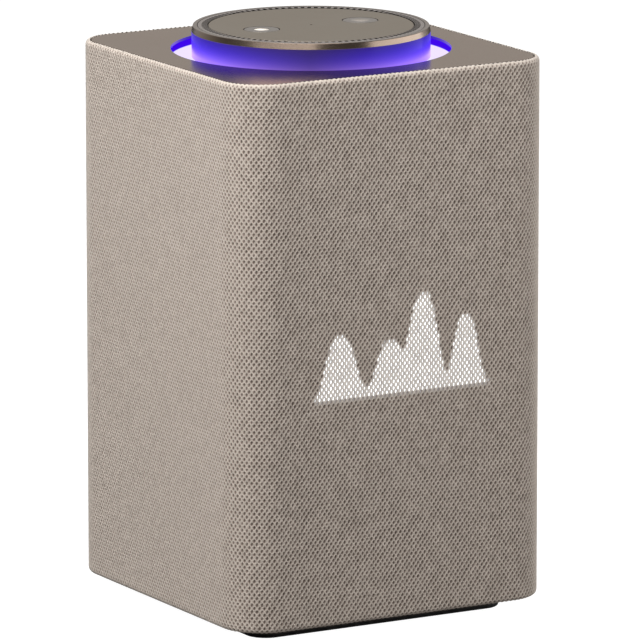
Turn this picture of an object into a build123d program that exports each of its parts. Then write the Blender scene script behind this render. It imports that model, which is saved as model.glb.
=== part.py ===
from build123d import *
import math
import os

# A free-standing smart speaker: a square fabric-clad tower with a lit well and a turning
# volume ring on top. Millimetres. The origin is the centre of the foot's underside,
# +Z is up and the front, with the light display, faces -Y.

# Driving dimensions ------------------------------------------------------------
BODY_WIDTH = 141.0
TOTAL_HEIGHT = 231.0
BODY_CORNER = 17.9
FABRIC_TOP = 222.05
FABRIC_BOTTOM = 5.2
FABRIC_SKIN = 1.0
FABRIC_ROLL = 1.9
PLATE_DROP = 0.2
PLATE_GAP = 0.35
WELL_RADIUS = 55.5
WELL_DEPTH = 4.0
KNOB_RADIUS = 47.25
KNOB_TOP_RADIUS = 46.75
KNOB_BAND = 2.3
CAP_RADIUS = 40.6
FOOT_WIDTH = 114.8
FOOT_CORNER = 9.2
FOOT_HEIGHT = 1.6
BUTTON_OFFSET = 22.4
BUTTON_RADIUS = 6.95
DISPLAY_COLUMNS = 25
DISPLAY_ROWS = 16
DISPLAY_PITCH = 3.2
DISPLAY_BOTTOM = 95.7
FIT = 0.3

# Fabric and grille ---------------------------------------------------------------
HALF = BODY_WIDTH / 2
FABRIC_INNER = HALF - FABRIC_SKIN
FABRIC_MOUTH = HALF - FABRIC_ROLL
GRILLE_OUTER = FABRIC_INNER - 0.1
GRILLE_WALL = 1.8
GRILLE_INNER = GRILLE_OUTER - GRILLE_WALL
GRILLE_WINDOW = 15.0
GRILLE_PITCH = 19.0
GRILLE_COLUMNS = 5
GRILLE_ROWS = 10
GRILLE_FIRST_ROW = 28.0
DISPLAY_HOLE = 2.4
SLOT_POINTS = 4
DISPLAY_WIDTH = DISPLAY_COLUMNS * DISPLAY_PITCH
DISPLAY_HEIGHT = DISPLAY_ROWS * DISPLAY_PITCH
DISPLAY_MIDDLE = DISPLAY_BOTTOM + DISPLAY_HEIGHT / 2

# Base and cabinet ----------------------------------------------------------------
FLANGE_HALF = 68.0
FLANGE_LOW = 5.4
FLANGE_HIGH = 8.0
CABINET_HALF = 63.5
CABINET_CORNER = 11.0
CABINET_LOW = FLANGE_HIGH
CABINET_HIGH = 200.0
CABINET_WALL = 3.0
CABINET_INNER = CABINET_HALF - CABINET_WALL
GASKET_THICK = 1.0
LID_LOW = CABINET_HIGH + GASKET_THICK
LID_HIGH = LID_LOW + 3.0
LID_SCREW_AT = 55.3
BASE_SCREW_AT = 46.0
BOSS_RADIUS = 4.2
SCREW_HEAD = 2.8
SCREW_HEAD_HEIGHT = 2.0
SCREW_SHANK = 1.45
SCREW_HOLE = 1.5
SCREW_LENGTH = 14.0

# Light well and volume ring ------------------------------------------------------
PLATE_TOP = FABRIC_TOP - PLATE_DROP
PLATE_THICK = 1.0
PLATE_LOW = PLATE_TOP - PLATE_THICK
PLATE_HALF = FABRIC_MOUTH - PLATE_GAP
DECK_HALF = 66.8
DECK_CORNER = 14.2
DECK_LOW = LID_HIGH
DECK_HIGH = DECK_LOW + 2.5
DECK_WALL = 2.0
WELL_WALL_INNER = 57.2
FLOOR_TOP = PLATE_TOP - WELL_DEPTH
FLOOR_THICK = 1.8
DIFFUSER_OUTER = WELL_WALL_INNER - 0.2
DIFFUSER_INNER = 41.0
DIFFUSER_WALL_INNER = WELL_RADIUS + 0.1
LED_BOARD_LOW = 210.0
BOARD_THICK = 1.6
RING_LED_COUNT = 24
RING_LED_RADIUS = 51.0
HUB_OUTER = 40.4
HUB_INNER = 38.6
SHELF_LOW = 216.6
SHELF_HIGH = 218.6
THRUST_LOW = 218.1
THRUST_HIGH = 218.9
THRUST_OUTER = 44.5
WASHER_THICK = 0.3
CARRIER_LOW = THRUST_HIGH + WASHER_THICK + 0.1
CARRIER_HIGH = 229.4
CARRIER_OUTER = 45.15
CARRIER_INNER = 42.9
GEAR_LOW = 221.4
GEAR_HIGH = 226.4
LIP_HIGH = 227.8
LIP_INNER = 41.5
GLIDE_OUTER = LIP_INNER - FIT
RETAINER_LOW = LIP_HIGH + 0.4
RETAINER_HIGH = RETAINER_LOW + 0.8
RETAINER_OUTER = 42.2
SKIRT_LOW = FLOOR_TOP + 0.65
SKIRT_INNER = 45.25
LAND_INNER = 45.05
TRIM_INNER = 40.9
TRIM_OUTER = 44.8
NOTCH_COUNT = 100
NOTCH_OUTER = 43.3
NOTCH_WIDTH = 1.5
NOTCH_DEPTH = 0.9
TRIM_DROP = 0.05
CAP_TOP = TOTAL_HEIGHT - 0.1
CAP_UNDER = 229.5

# Buttons and control board -------------------------------------------------------
BOARD_LOW = SHELF_HIGH
BOARD_HIGH = BOARD_LOW + BOARD_THICK
STEM_LOW = 223.6
STEM_RADIUS = 1.8
BUTTON_FLANGE_HIGH = CAP_UNDER - 0.1
BUTTON_FLANGE_LOW = BUTTON_FLANGE_HIGH - 0.9
BUTTON_FLANGE_LIP = 0.95
DIMPLE_RADIUS = 3.0
DISH_DEPTH = 0.5
LENS_DROP = 0.1
LENS_THICK = 0.5
SPRING_RADIUS = 4.7
SPRING_WIRE = 0.3
SPRING_TURNS = 5
SWITCH_HALF = 3.0
SWITCH_HEIGHT = 1.8
SWITCH_PLUNGER = (1.6, 0.6)
MICROPHONE_SIZE = (3.5, 2.65, 1.0)
MICROPHONE_CIRCLE = 30.0
MICROPHONE_HOLE = 0.5

# Encoder gearing -----------------------------------------------------------------
GEAR_MODULE = 0.6
RING_TEETH = 138
PINION_TEETH = 16
PRESSURE_ANGLE = math.radians(20)
BACKLASH = 0.12
RING_PITCH_RADIUS = GEAR_MODULE * RING_TEETH / 2
PINION_PITCH_RADIUS = GEAR_MODULE * PINION_TEETH / 2
PINION_AT = RING_PITCH_RADIUS - PINION_PITCH_RADIUS
TOOTH_ADDENDUM = 0.48
PINION_DEDENDUM = 0.7
RING_DEDENDUM = 0.75
PINION_SHAFT = 1.5

# Light display -------------------------------------------------------------------
DISPLAY_BOARD_HALF = 43.6
DISPLAY_BOARD_BACK = CABINET_HALF + 0.5
DISPLAY_BOARD_FACE = DISPLAY_BOARD_BACK + 1.4
DISPLAY_BOARD_LOW = DISPLAY_BOTTOM - 1.4
DISPLAY_BOARD_HIGH = DISPLAY_BOTTOM + DISPLAY_HEIGHT + 1.4
DISPLAY_SCREW_X = 42.0
DISPLAY_SCREW_INSET = 1.6
DISPLAY_LED = (1.6, 0.7, 1.6)
DISPLAY_FILM = 0.5

# Drivers: cone radius, surround roll radius, flange radius, depth and coil radius --
WOOFER = {"cone": 33.2, "roll": 2.3, "flange": 42.4, "depth": 28.0, "coil": 13.0}
MID = {"cone": 12.6, "roll": 1.4, "flange": 19.3, "depth": 13.0, "coil": 5.4}
WOOFER_Z = 50.9
MID_X = 20.0
MID_Z = 169.5
PASSIVE_Z = 75.0
PASSIVE_DISC = 36.6
PASSIVE_ROLL = 2.3
PASSIVE_FLANGE = 46.0
TWEETER_X = 43.0
TWEETER_Z = 187.5
TWEETER_FLANGE = 9.5
TWEETER_DOME = 6.0
FLANGE_THICK = 1.4
RUBBER_THICK = 0.7
CONE_THICK = 1.0
DRIVER_SCREW_HEAD = 1.2
DRIVER_SCREW_HEAD_HEIGHT = 0.8
DRIVER_SCREW_SHANK = 0.8
DRIVER_SCREW_INSET = 1.4
GLUE_LIP = 2.8
COIL_GAP = 0.4
COIL_THICK = 0.8
PASSIVE_SLEEVE = 5.0
TWEETER_BODY = 7.9
TWEETER_BORE = 6.8
TWEETER_SLEEVE = 5.0
TWEETER_DEPTH = 11.0

# Electronics ---------------------------------------------------------------------
MAIN_BOARD_BACK = 53.6
MAIN_BOARD_HALF = 50.0
MAIN_BOARD_LOW = 50.0
MAIN_BOARD_HIGH = 168.0
BOARD_POST_X = 44.0
BOARD_POST_Z = (58.0, 160.0)
BOARD_POST_RADIUS = 3.0
CHIPS = ((-34, 70, 14, 14, 1.6), (-34, 92, 10, 12, 1.2), (34, 72, 12, 12, 1.6), (34, 94, 8, 8, 1.4),
         (-36, 126, 16, 12, 6.0), (36, 128, 16, 16, 9.0))
CAPACITOR_X = 20.0
CAPACITOR_Z = (110, 122, 134)
CAPACITOR_RADIUS = 4.0
CAPACITOR_LENGTH = 14.0
SINK_LOW = (-24.0, 60.0)
SINK_HIGH = (10.0, 104.0)
SINK_BASE = 3.0
SINK_DEPTH = 15.0
SINK_FINS = 9
SINK_FIN = 1.2
SINK_FIN_PITCH = 4.0

# Rear connectors -----------------------------------------------------------------
PANEL_HALF = 24.0
PANEL_LOW = 14.0
PANEL_HIGH = 36.0
PANEL_MIDDLE = (PANEL_LOW + PANEL_HIGH) / 2
PANEL_FACE = 66.0
PANEL_RIM = 3.0
SOCKET_X = -9.0
SOCKET_HALF = (8.5, 5.5)
SOCKET_BACK = 46.0
SOCKET_HOLE = (14.4, 8.2)
SOCKET_HOLE_BACK = 53.0
SOCKET_PIN_APART = 4.3
SOCKET_PIN_RADIUS = 1.2
SOCKET_PIN_LENGTH = 11.0
PORT_X = 12.0
PORT_HALF = (5.0, 2.2)
PORT_SHELL = (10.0, 4.4)
PORT_HOLE = (9.0, 3.4)
PORT_BACK = 57.0
PORT_HOLE_BACK = 59.0
PORT_TONGUE_HALF = (3.2, 0.35)
PORT_TONGUE_REACH = 64.5


def block(low, high):
    """A box between two opposite corners."""
    size = [b - a for a, b in zip(low, high)]
    middle = [(a + b) / 2 for a, b in zip(low, high)]
    return Pos(*middle) * Box(*size)


def disc(radius, low, high, x=0.0, y=0.0):
    """An upright cylinder from one height to another."""
    return Pos(x, y, (low + high) / 2) * Cylinder(radius, high - low)


def tube(outer, inner, low, high):
    """An upright tube about the Z axis."""
    return disc(outer, low, high) - disc(inner, low - 1, high + 1)


def square_block(half, corner, low, high):
    """A square block with rounded upright corners, centred on Z."""
    outline = Pos(0, 0, low) * RectangleRounded(2 * half, 2 * half, corner)
    return extrude(outline, amount=high - low)


def square_ring(outer, inner, low, high):
    """A square tube; its corners keep the body's corner arcs' centre."""
    outer_corner = max(outer - HALF + BODY_CORNER, 1.0)
    inner_corner = max(inner - HALF + BODY_CORNER, 1.0)
    body = square_block(outer, outer_corner, low, high)
    return body - square_block(inner, inner_corner, low - 1, high + 1)


def turned(points):
    """A solid of revolution about Z from (radius, height) points."""
    outline = Polyline(*[(r, 0, z) for r, z in points], close=True)
    return revolve(make_face(outline), Axis.Z)


def dome_shell(radius, rise, thick, base):
    """A shallow spherical shell with its rim at height base."""
    outer = (radius ** 2 + rise ** 2) / (2 * rise)
    middle = Pos(0, 0, base + rise - outer)
    shell = middle * Sphere(outer) - middle * Sphere(outer - thick)
    return shell & disc(radius, base, base + rise + 1)


def four_corners(at):
    """The corner positions of a square bolt pattern."""
    return [(at * i, at * j) for i in (-1, 1) for j in (-1, 1)]


def round_about(count, radius, start=0.0):
    """Equally spaced (x, y) positions on a circle."""
    step = 2 * math.pi / count
    return [(radius * math.cos(start + step * i), radius * math.sin(start + step * i))
            for i in range(count)]


def on_front(x, z):
    """A place on the cabinet's front wall, its local Z pointing out."""
    return Plane(origin=(x, -CABINET_HALF, z), x_dir=(1, 0, 0), z_dir=(0, -1, 0)).location


def on_side(side, z):
    """A place on a side wall, side -1 or 1, its local Z pointing out."""
    return Plane(origin=(side * CABINET_HALF, 0, z), x_dir=(0, side, 0), z_dir=(side, 0, 0)).location


def mid_place(side):
    return on_front(side * MID_X, MID_Z)


def tweeter_place(side):
    return on_front(side * TWEETER_X, TWEETER_Z)


def passive_place(side):
    return on_side(side, PASSIVE_Z)


def write(name, solids):
    """Write one node's STEP file."""
    group = Compound(children=list(solids)) if isinstance(solids, (list, tuple)) else solids
    group.label = name
    export_step(group, os.path.join("parts", name + ".step"))


# Base ----------------------------------------------------------------------------
def foot_pad():
    half = FOOT_WIDTH / 2 - 0.5
    pad = square_block(half, FOOT_CORNER - 0.5, 0, FOOT_HEIGHT)
    return chamfer(pad.edges().group_by(Axis.Z)[0], 0.4)


def base_plate():
    plinth = square_block(FOOT_WIDTH / 2, FOOT_CORNER, FOOT_HEIGHT, FLANGE_HIGH)
    flange = square_block(FLANGE_HALF, FLANGE_HALF - HALF + BODY_CORNER, FLANGE_LOW, FLANGE_HIGH)
    plate = plinth + flange
    for x, y in four_corners(BASE_SCREW_AT):
        plate -= disc(SCREW_HEAD + FIT, FOOT_HEIGHT - 1, FOOT_HEIGHT + SCREW_HEAD_HEIGHT + 0.1, x, y)
        plate -= disc(SCREW_HOLE, 0, FLANGE_HIGH + 1, x, y)
    return plate


def screw(x, y, head_low, length, points_up):
    """A pan-head screw with a cross slot, its shank pointing up or down."""
    head = disc(SCREW_HEAD, head_low, head_low + SCREW_HEAD_HEIGHT, x, y)
    if points_up:
        shank = disc(SCREW_SHANK, head_low + SCREW_HEAD_HEIGHT, head_low + SCREW_HEAD_HEIGHT + length, x, y)
        slot_z = head_low
    else:
        shank = disc(SCREW_SHANK, head_low - length, head_low, x, y)
        slot_z = head_low + SCREW_HEAD_HEIGHT
    cross = Box(3.2, 0.7, 1.6) + Box(0.7, 3.2, 1.6)
    return head + shank - Pos(x, y, slot_z) * cross


def base_screws():
    return [screw(x, y, FOOT_HEIGHT + 0.1, SCREW_LENGTH, True) for x, y in four_corners(BASE_SCREW_AT)]


# Cabinet -------------------------------------------------------------------------
def wall_openings():
    """Everything that is cut through the cabinet's walls."""
    through = 4 * CABINET_WALL
    cuts = [on_front(0, WOOFER_Z) * Cylinder(WOOFER["cone"] + 2 * WOOFER["roll"], through)]
    for side in (-1, 1):
        mid_hole = Cylinder(MID["cone"] + 2 * MID["roll"] + 1, through)
        passive_hole = Cylinder(PASSIVE_DISC + 2 * PASSIVE_ROLL + 0.4, through)
        cuts.append(mid_place(side) * mid_hole)
        cuts.append(tweeter_place(side) * Cylinder(TWEETER_BODY + 0.1, through))
        cuts.append(passive_place(side) * passive_hole)
    cuts.append(panel_window(SOCKET_X, SOCKET_HALF, 0.1))
    cuts.append(panel_window(PORT_X, PORT_HALF, 0.1))
    return cuts


def panel_window(x, half, margin):
    """The opening for one rear connector."""
    wide, tall = half[0] + margin, half[1] + margin
    low = (x - wide, CABINET_INNER - 10, PANEL_MIDDLE - tall)
    return block(low, (x + wide, PANEL_FACE + 4, PANEL_MIDDLE + tall))


def cabinet_shell():
    shell = square_block(CABINET_HALF, CABINET_CORNER, CABINET_LOW, CABINET_HIGH)
    hollow_corner = CABINET_CORNER - CABINET_WALL
    shell -= square_block(CABINET_INNER, hollow_corner, CABINET_LOW + CABINET_WALL, CABINET_HIGH + 1)
    for x, y in four_corners(LID_SCREW_AT):
        shell += disc(BOSS_RADIUS, CABINET_LOW, CABINET_HIGH, x, y)
        shell -= disc(SCREW_HOLE, CABINET_HIGH - SCREW_LENGTH, CABINET_HIGH + 1, x, y)
    for x, y in four_corners(BASE_SCREW_AT):
        shell += disc(BOSS_RADIUS, CABINET_LOW, CABINET_LOW + SCREW_LENGTH, x, y)
        shell -= disc(SCREW_HOLE, CABINET_LOW - 1, CABINET_LOW + SCREW_LENGTH - 3, x, y)
    post = Rot(90, 0, 0) * Cylinder(BOARD_POST_RADIUS, CABINET_INNER - MAIN_BOARD_BACK)
    for x in (-BOARD_POST_X, BOARD_POST_X):
        for z in BOARD_POST_Z:
            shell += Pos(x, (CABINET_INNER + MAIN_BOARD_BACK) / 2, z) * post
    for cut in wall_openings():
        shell -= cut
    return shell


def cabinet_gasket():
    ring = square_block(CABINET_HALF, CABINET_CORNER, CABINET_HIGH, LID_LOW)
    ring -= square_block(CABINET_INNER, CABINET_CORNER - CABINET_WALL, CABINET_HIGH - 1, LID_LOW + 1)
    for x, y in four_corners(LID_SCREW_AT):
        ring -= disc(SCREW_HOLE, CABINET_HIGH - 1, LID_LOW + 1, x, y)
    return ring


def cabinet_lid():
    lid = square_block(CABINET_HALF, CABINET_CORNER, LID_LOW, LID_HIGH)
    for x, y in four_corners(LID_SCREW_AT):
        lid -= disc(SCREW_HEAD + FIT, LID_HIGH - SCREW_HEAD_HEIGHT - 0.1, LID_HIGH + 1, x, y)
        lid -= disc(SCREW_HOLE, LID_LOW - 1, LID_HIGH + 1, x, y)
    return lid


def lid_screws():
    head_low = LID_HIGH - SCREW_HEAD_HEIGHT - 0.1
    return [screw(x, y, head_low, SCREW_LENGTH - 2, False) for x, y in four_corners(LID_SCREW_AT)]


# Grille and fabric ---------------------------------------------------------------
def grille_windows():
    """Square sound windows in the four sides, clear of the display and the connectors."""
    cuts = []
    deep = 2 * GRILLE_OUTER
    panel_top = PANEL_HIGH + GRILLE_WINDOW / 2
    for row in range(GRILLE_ROWS):
        z = GRILLE_FIRST_ROW + GRILLE_PITCH * row
        for column in range(GRILLE_COLUMNS):
            across = GRILLE_PITCH * (column - (GRILLE_COLUMNS - 1) / 2)
            cuts.append(Pos(0, across, z) * Box(2 * deep, GRILLE_WINDOW, GRILLE_WINDOW))
            near_display = abs(z - DISPLAY_MIDDLE) < DISPLAY_HEIGHT / 2 + GRILLE_WINDOW / 2 + 1
            if not near_display:
                cuts.append(Pos(across, -GRILLE_OUTER, z) * Box(GRILLE_WINDOW, 8, GRILLE_WINDOW))
            near_panel = z < panel_top + 1 and abs(across) < PANEL_HALF + GRILLE_WINDOW / 2
            if not near_panel:
                cuts.append(Pos(across, GRILLE_OUTER, z) * Box(GRILLE_WINDOW, 8, GRILLE_WINDOW))
    return cuts


def display_places():
    """The (x, z) centre of every point of the light display."""
    first_x = -DISPLAY_PITCH * (DISPLAY_COLUMNS - 1) / 2
    first_z = DISPLAY_BOTTOM + DISPLAY_PITCH / 2
    return [(first_x + DISPLAY_PITCH * i, first_z + DISPLAY_PITCH * j)
            for i in range(DISPLAY_COLUMNS) for j in range(DISPLAY_ROWS)]


def display_slots():
    """Tall slots in the front, each in line with a few points of one display column."""
    slots = []
    tall = DISPLAY_PITCH * SLOT_POINTS - (DISPLAY_PITCH - DISPLAY_HOLE)
    for column in range(DISPLAY_COLUMNS):
        x = DISPLAY_PITCH * (column - (DISPLAY_COLUMNS - 1) / 2)
        for group in range(DISPLAY_ROWS // SLOT_POINTS):
            z = DISPLAY_BOTTOM + DISPLAY_PITCH * SLOT_POINTS * (group + 0.5)
            slots.append(Pos(x, -GRILLE_OUTER, z) * Box(DISPLAY_HOLE, 8, tall))
    return slots


def panel_cut(margin):
    """The rear opening for the connector panel."""
    return block((-PANEL_HALF - margin, PANEL_FACE - 4, PANEL_LOW - margin),
                 (PANEL_HALF + margin, HALF + 5, PANEL_HIGH + margin))


def grille_frame():
    frame = square_ring(GRILLE_OUTER, GRILLE_INNER, FLANGE_HIGH + 0.05, PLATE_LOW - 0.1)
    frame += square_ring(GRILLE_OUTER, FLANGE_HALF + 0.2, FABRIC_BOTTOM + FABRIC_SKIN + 0.1, FLANGE_HIGH + 1)
    frame -= square_block(PLATE_HALF + 0.2, PLATE_HALF - HALF + BODY_CORNER, PLATE_LOW - 0.4, PLATE_TOP)
    cuts = grille_windows() + display_slots()
    cuts.append(panel_cut(0.0))
    return frame - cuts


def fabric_sleeve():
    outer = square_block(HALF, BODY_CORNER, FABRIC_BOTTOM, FABRIC_TOP)
    rims = outer.edges().group_by(Axis.Z)
    outer = fillet(rims[0] + rims[-1], FABRIC_ROLL - 0.1)
    inner_corner = FABRIC_INNER - HALF + BODY_CORNER
    inner = square_block(FABRIC_INNER, inner_corner, FABRIC_BOTTOM + FABRIC_SKIN, FABRIC_TOP - FABRIC_SKIN)
    mouth_corner = FABRIC_MOUTH - HALF + BODY_CORNER
    mouth = square_block(FABRIC_MOUTH, mouth_corner, FABRIC_BOTTOM - 1, FABRIC_TOP + 1)
    return outer - inner - mouth - panel_cut(0.2)


# Light well ----------------------------------------------------------------------
def well_housing():
    deck = square_block(DECK_HALF, DECK_CORNER, DECK_LOW, DECK_HIGH)
    skirt = square_block(DECK_HALF, DECK_CORNER, DECK_HIGH, PLATE_LOW)
    skirt -= square_block(DECK_HALF - DECK_WALL, DECK_CORNER - DECK_WALL, DECK_HIGH - 1, PLATE_LOW + 1)
    wall = tube(WELL_WALL_INNER + DECK_WALL, WELL_WALL_INNER, DECK_HIGH, PLATE_LOW)
    ledge = tube(WELL_WALL_INNER + 0.5, WELL_WALL_INNER - 1.2, DECK_HIGH, FLOOR_TOP - FLOOR_THICK)
    rest = tube(49.0, 47.0, DECK_HIGH, LED_BOARD_LOW)
    return deck + skirt + wall + ledge + rest


def top_plate():
    plate = square_block(PLATE_HALF, PLATE_HALF - HALF + BODY_CORNER, PLATE_LOW, PLATE_TOP)
    plate = chamfer(plate.edges().group_by(Axis.Z)[-1], 0.2)
    plate -= disc(WELL_RADIUS, PLATE_LOW - 1, PLATE_TOP + 1)
    return plate


def light_diffuser():
    floor = tube(DIFFUSER_OUTER, DIFFUSER_INNER, FLOOR_TOP - FLOOR_THICK, FLOOR_TOP)
    wall = tube(DIFFUSER_OUTER, DIFFUSER_WALL_INNER, FLOOR_TOP - 0.5, PLATE_LOW - 0.05)
    return floor + wall


def ring_led_board():
    outer = WELL_WALL_INNER - 1.4
    return tube(outer, DIFFUSER_INNER, LED_BOARD_LOW, LED_BOARD_LOW + BOARD_THICK)


def ring_leds():
    z = LED_BOARD_LOW + BOARD_THICK + 0.7
    return [Pos(x, y, z) * Rot(0, 0, math.degrees(math.atan2(y, x))) * Box(3.5, 3.5, 1.4)
            for x, y in round_about(RING_LED_COUNT, RING_LED_RADIUS)]


# Volume ring and its bearing -----------------------------------------------------
def dial_hub():
    hub = tube(HUB_OUTER, HUB_INNER, DECK_HIGH, RETAINER_LOW)
    hub += disc(HUB_INNER + 0.5, SHELF_LOW, SHELF_HIGH)
    hub += tube(THRUST_OUTER, HUB_INNER + 0.5, THRUST_LOW, THRUST_HIGH)
    window = block((-7, HUB_INNER - 6, SHELF_HIGH), (7, HUB_OUTER + 0.01, GEAR_HIGH))
    return hub - window


def thrust_washer():
    return tube(THRUST_OUTER - 0.2, HUB_OUTER + 0.4, THRUST_HIGH, THRUST_HIGH + WASHER_THICK)


def glide_ring():
    return tube(GLIDE_OUTER, HUB_OUTER, GEAR_HIGH + 0.1, RETAINER_LOW)


def retainer_ring():
    return tube(RETAINER_OUTER, HUB_INNER, RETAINER_LOW, RETAINER_HIGH)


def involute(angle):
    """The involute function, tan(angle) - angle."""
    return math.tan(angle) - angle


def half_tooth_angle(radius, pitch_radius, teeth, thinning):
    """Half the angle that an involute tooth spans at a radius, thinned for backlash."""
    base = pitch_radius * math.cos(PRESSURE_ANGLE)
    local = math.acos(min(base / radius, 1.0))
    half_pitch = math.pi / (2 * teeth)
    return half_pitch + involute(PRESSURE_ANGLE) - involute(local) - thinning / (2 * pitch_radius)


def gear_outline(pitch_radius, teeth, low, high, thinning, first_angle):
    """A closed outline of involute teeth between two radii, with a tooth at first_angle."""
    base = pitch_radius * math.cos(PRESSURE_ANGLE)
    flank_low = max(low, base)
    steps = 3
    radii = [flank_low + (high - flank_low) * i / steps for i in range(steps + 1)]
    sides = [(r, half_tooth_angle(r, pitch_radius, teeth, thinning)) for r in radii]
    if low < base:
        sides.insert(0, (low, sides[0][1]))
    points = []
    for tooth in range(teeth):
        middle = first_angle + 2 * math.pi * tooth / teeth
        for radius, half in sides:
            points.append((radius * math.cos(middle - half), radius * math.sin(middle - half)))
        for radius, half in reversed(sides):
            points.append((radius * math.cos(middle + half), radius * math.sin(middle + half)))
    return make_face(Polyline(*points, close=True))


def dial_carrier():
    body = tube(CARRIER_OUTER, CARRIER_INNER, CARRIER_LOW, CARRIER_HIGH)
    root = RING_PITCH_RADIUS + RING_DEDENDUM
    tip = RING_PITCH_RADIUS - TOOTH_ADDENDUM
    spaces = gear_outline(RING_PITCH_RADIUS, RING_TEETH, tip - 0.02, root, -BACKLASH, math.pi / 2)
    band = tube(CARRIER_INNER + 0.5, tip, GEAR_LOW, GEAR_HIGH)
    band -= extrude(Pos(0, 0, GEAR_LOW - 1) * spaces, amount=GEAR_HIGH - GEAR_LOW + 2)
    lip = tube(CARRIER_INNER + 0.5, LIP_INNER, GEAR_HIGH, LIP_HIGH)
    return body + band + lip


def volume_ring():
    edge = 0.15
    ring = turned([(SKIRT_INNER, SKIRT_LOW), (KNOB_RADIUS - edge, SKIRT_LOW), (KNOB_RADIUS, SKIRT_LOW + edge),
                   (KNOB_RADIUS, TOTAL_HEIGHT - KNOB_BAND), (KNOB_TOP_RADIUS, TOTAL_HEIGHT - edge),
                   (KNOB_TOP_RADIUS - edge, TOTAL_HEIGHT), (LAND_INNER, TOTAL_HEIGHT),
                   (LAND_INNER, CARRIER_HIGH), (SKIRT_INNER, CARRIER_HIGH)])
    return ring


def trim_ring():
    """A flat ring whose inner edge is cut into fine teeth."""
    top = TOTAL_HEIGHT - TRIM_DROP
    ring = tube(TRIM_OUTER, TRIM_INNER, CARRIER_HIGH, top)
    half = NOTCH_WIDTH / 2
    notch = block((TRIM_INNER - 1, -half, top - NOTCH_DEPTH), (NOTCH_OUTER, half, top + 1))
    step = 360 / NOTCH_COUNT
    return ring - [Rot(0, 0, step * i) * notch for i in range(NOTCH_COUNT)]


def centre_cap():
    cap = disc(CAP_RADIUS, RETAINER_HIGH, CAP_TOP)
    cap = chamfer(cap.edges().group_by(Axis.Z)[-1], 0.15)
    cap -= disc(HUB_INNER - 1.4, RETAINER_HIGH - 1, CAP_UNDER)
    for side in (-1, 1):
        cap -= disc(BUTTON_RADIUS + FIT, CAP_UNDER - 1, CAP_TOP + 1, side * BUTTON_OFFSET)
    cap -= disc(MICROPHONE_HOLE, CAP_UNDER - 1, CAP_TOP + 1)
    return cap


# Buttons and control board -------------------------------------------------------

def button_body(x):
    """A push button: cap, retaining flange and stem."""
    body = disc(BUTTON_RADIUS, BUTTON_FLANGE_HIGH, CAP_TOP, x)
    body = chamfer(body.edges().group_by(Axis.Z)[-1], 0.15)
    body += disc(BUTTON_RADIUS + BUTTON_FLANGE_LIP, BUTTON_FLANGE_LOW, BUTTON_FLANGE_HIGH, x)
    return body + disc(STEM_RADIUS, STEM_LOW, BUTTON_FLANGE_LOW, x)


def mute_button():
    pocket = disc(DIMPLE_RADIUS, CAP_TOP - LENS_DROP - LENS_THICK, CAP_TOP + 1, -BUTTON_OFFSET)
    return button_body(-BUTTON_OFFSET) - pocket


def mute_lens():
    top = CAP_TOP - LENS_DROP
    return disc(DIMPLE_RADIUS, top - LENS_THICK, top, -BUTTON_OFFSET)


def action_button():
    ball = (DIMPLE_RADIUS ** 2 + DISH_DEPTH ** 2) / (2 * DISH_DEPTH)
    return button_body(BUTTON_OFFSET) - Pos(BUTTON_OFFSET, 0, CAP_TOP - DISH_DEPTH + ball) * Sphere(ball)


def button_spring(x):
    """A coil spring between the control board and the button's flange."""
    height = BUTTON_FLANGE_LOW - BOARD_HIGH - 2 * SPRING_WIRE - 0.1
    path = Helix(pitch=height / SPRING_TURNS, height=height, radius=SPRING_RADIUS)
    start = Plane(origin=path @ 0, z_dir=path % 0)
    coil = sweep(start * Circle(SPRING_WIRE), path=path, is_frenet=True)
    return Pos(x, 0, BOARD_HIGH + SPRING_WIRE + 0.05) * coil


def control_board():
    board = disc(HUB_INNER - 0.3, BOARD_LOW, BOARD_HIGH)
    return board + block((-6, HUB_INNER - 4, BOARD_LOW + 0.4), (6, HUB_OUTER - 0.1, BOARD_HIGH))


def tact_switches():
    switches = []
    case_high = BOARD_HIGH + SWITCH_HEIGHT
    plunger, reach = SWITCH_PLUNGER
    for side in (-1, 1):
        x = side * BUTTON_OFFSET
        case = block((x - SWITCH_HALF, -SWITCH_HALF, BOARD_HIGH), (x + SWITCH_HALF, SWITCH_HALF, case_high))
        switches.append(case + disc(plunger, case_high, case_high + reach, x))
    return switches


def microphones():
    places = [(0.0, 0.0)] + round_about(6, MICROPHONE_CIRCLE, math.pi / 6)
    z = BOARD_HIGH + MICROPHONE_SIZE[2] / 2
    return [Pos(x, y, z) * Box(*MICROPHONE_SIZE) for x, y in places]


def encoder_body():
    case = disc(3.7, BOARD_HIGH, BOARD_HIGH + 1.0, 0, PINION_AT)
    return case - disc(PINION_SHAFT + 0.08, BOARD_HIGH + 0.2, BOARD_HIGH + 2, 0, PINION_AT)


def encoder_pinion():
    low = PINION_PITCH_RADIUS - PINION_DEDENDUM
    high = PINION_PITCH_RADIUS + TOOTH_ADDENDUM
    outline = gear_outline(PINION_PITCH_RADIUS, PINION_TEETH, low, high, BACKLASH, math.pi / 2)
    gear = extrude(Pos(0, PINION_AT, GEAR_LOW + 0.2) * outline, amount=GEAR_HIGH - GEAR_LOW - 0.4)
    return gear + disc(PINION_SHAFT, BOARD_HIGH + 0.3, GEAR_LOW + 0.5, 0, PINION_AT)


# Light display -------------------------------------------------------------------

def display_board():
    board = block((-DISPLAY_BOARD_HALF, -DISPLAY_BOARD_FACE, DISPLAY_BOARD_LOW),
                  (DISPLAY_BOARD_HALF, -DISPLAY_BOARD_BACK, DISPLAY_BOARD_HIGH))
    for x, z in display_screw_places():
        board -= Pos(x, -DISPLAY_BOARD_FACE, z) * Rot(90, 0, 0) * Cylinder(0.9, 8)
    return board


def display_screw_places():
    return [(side * DISPLAY_SCREW_X, z) for side in (-1, 1)
            for z in (DISPLAY_BOARD_LOW + DISPLAY_SCREW_INSET, DISPLAY_BOARD_HIGH - DISPLAY_SCREW_INSET)]


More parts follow.
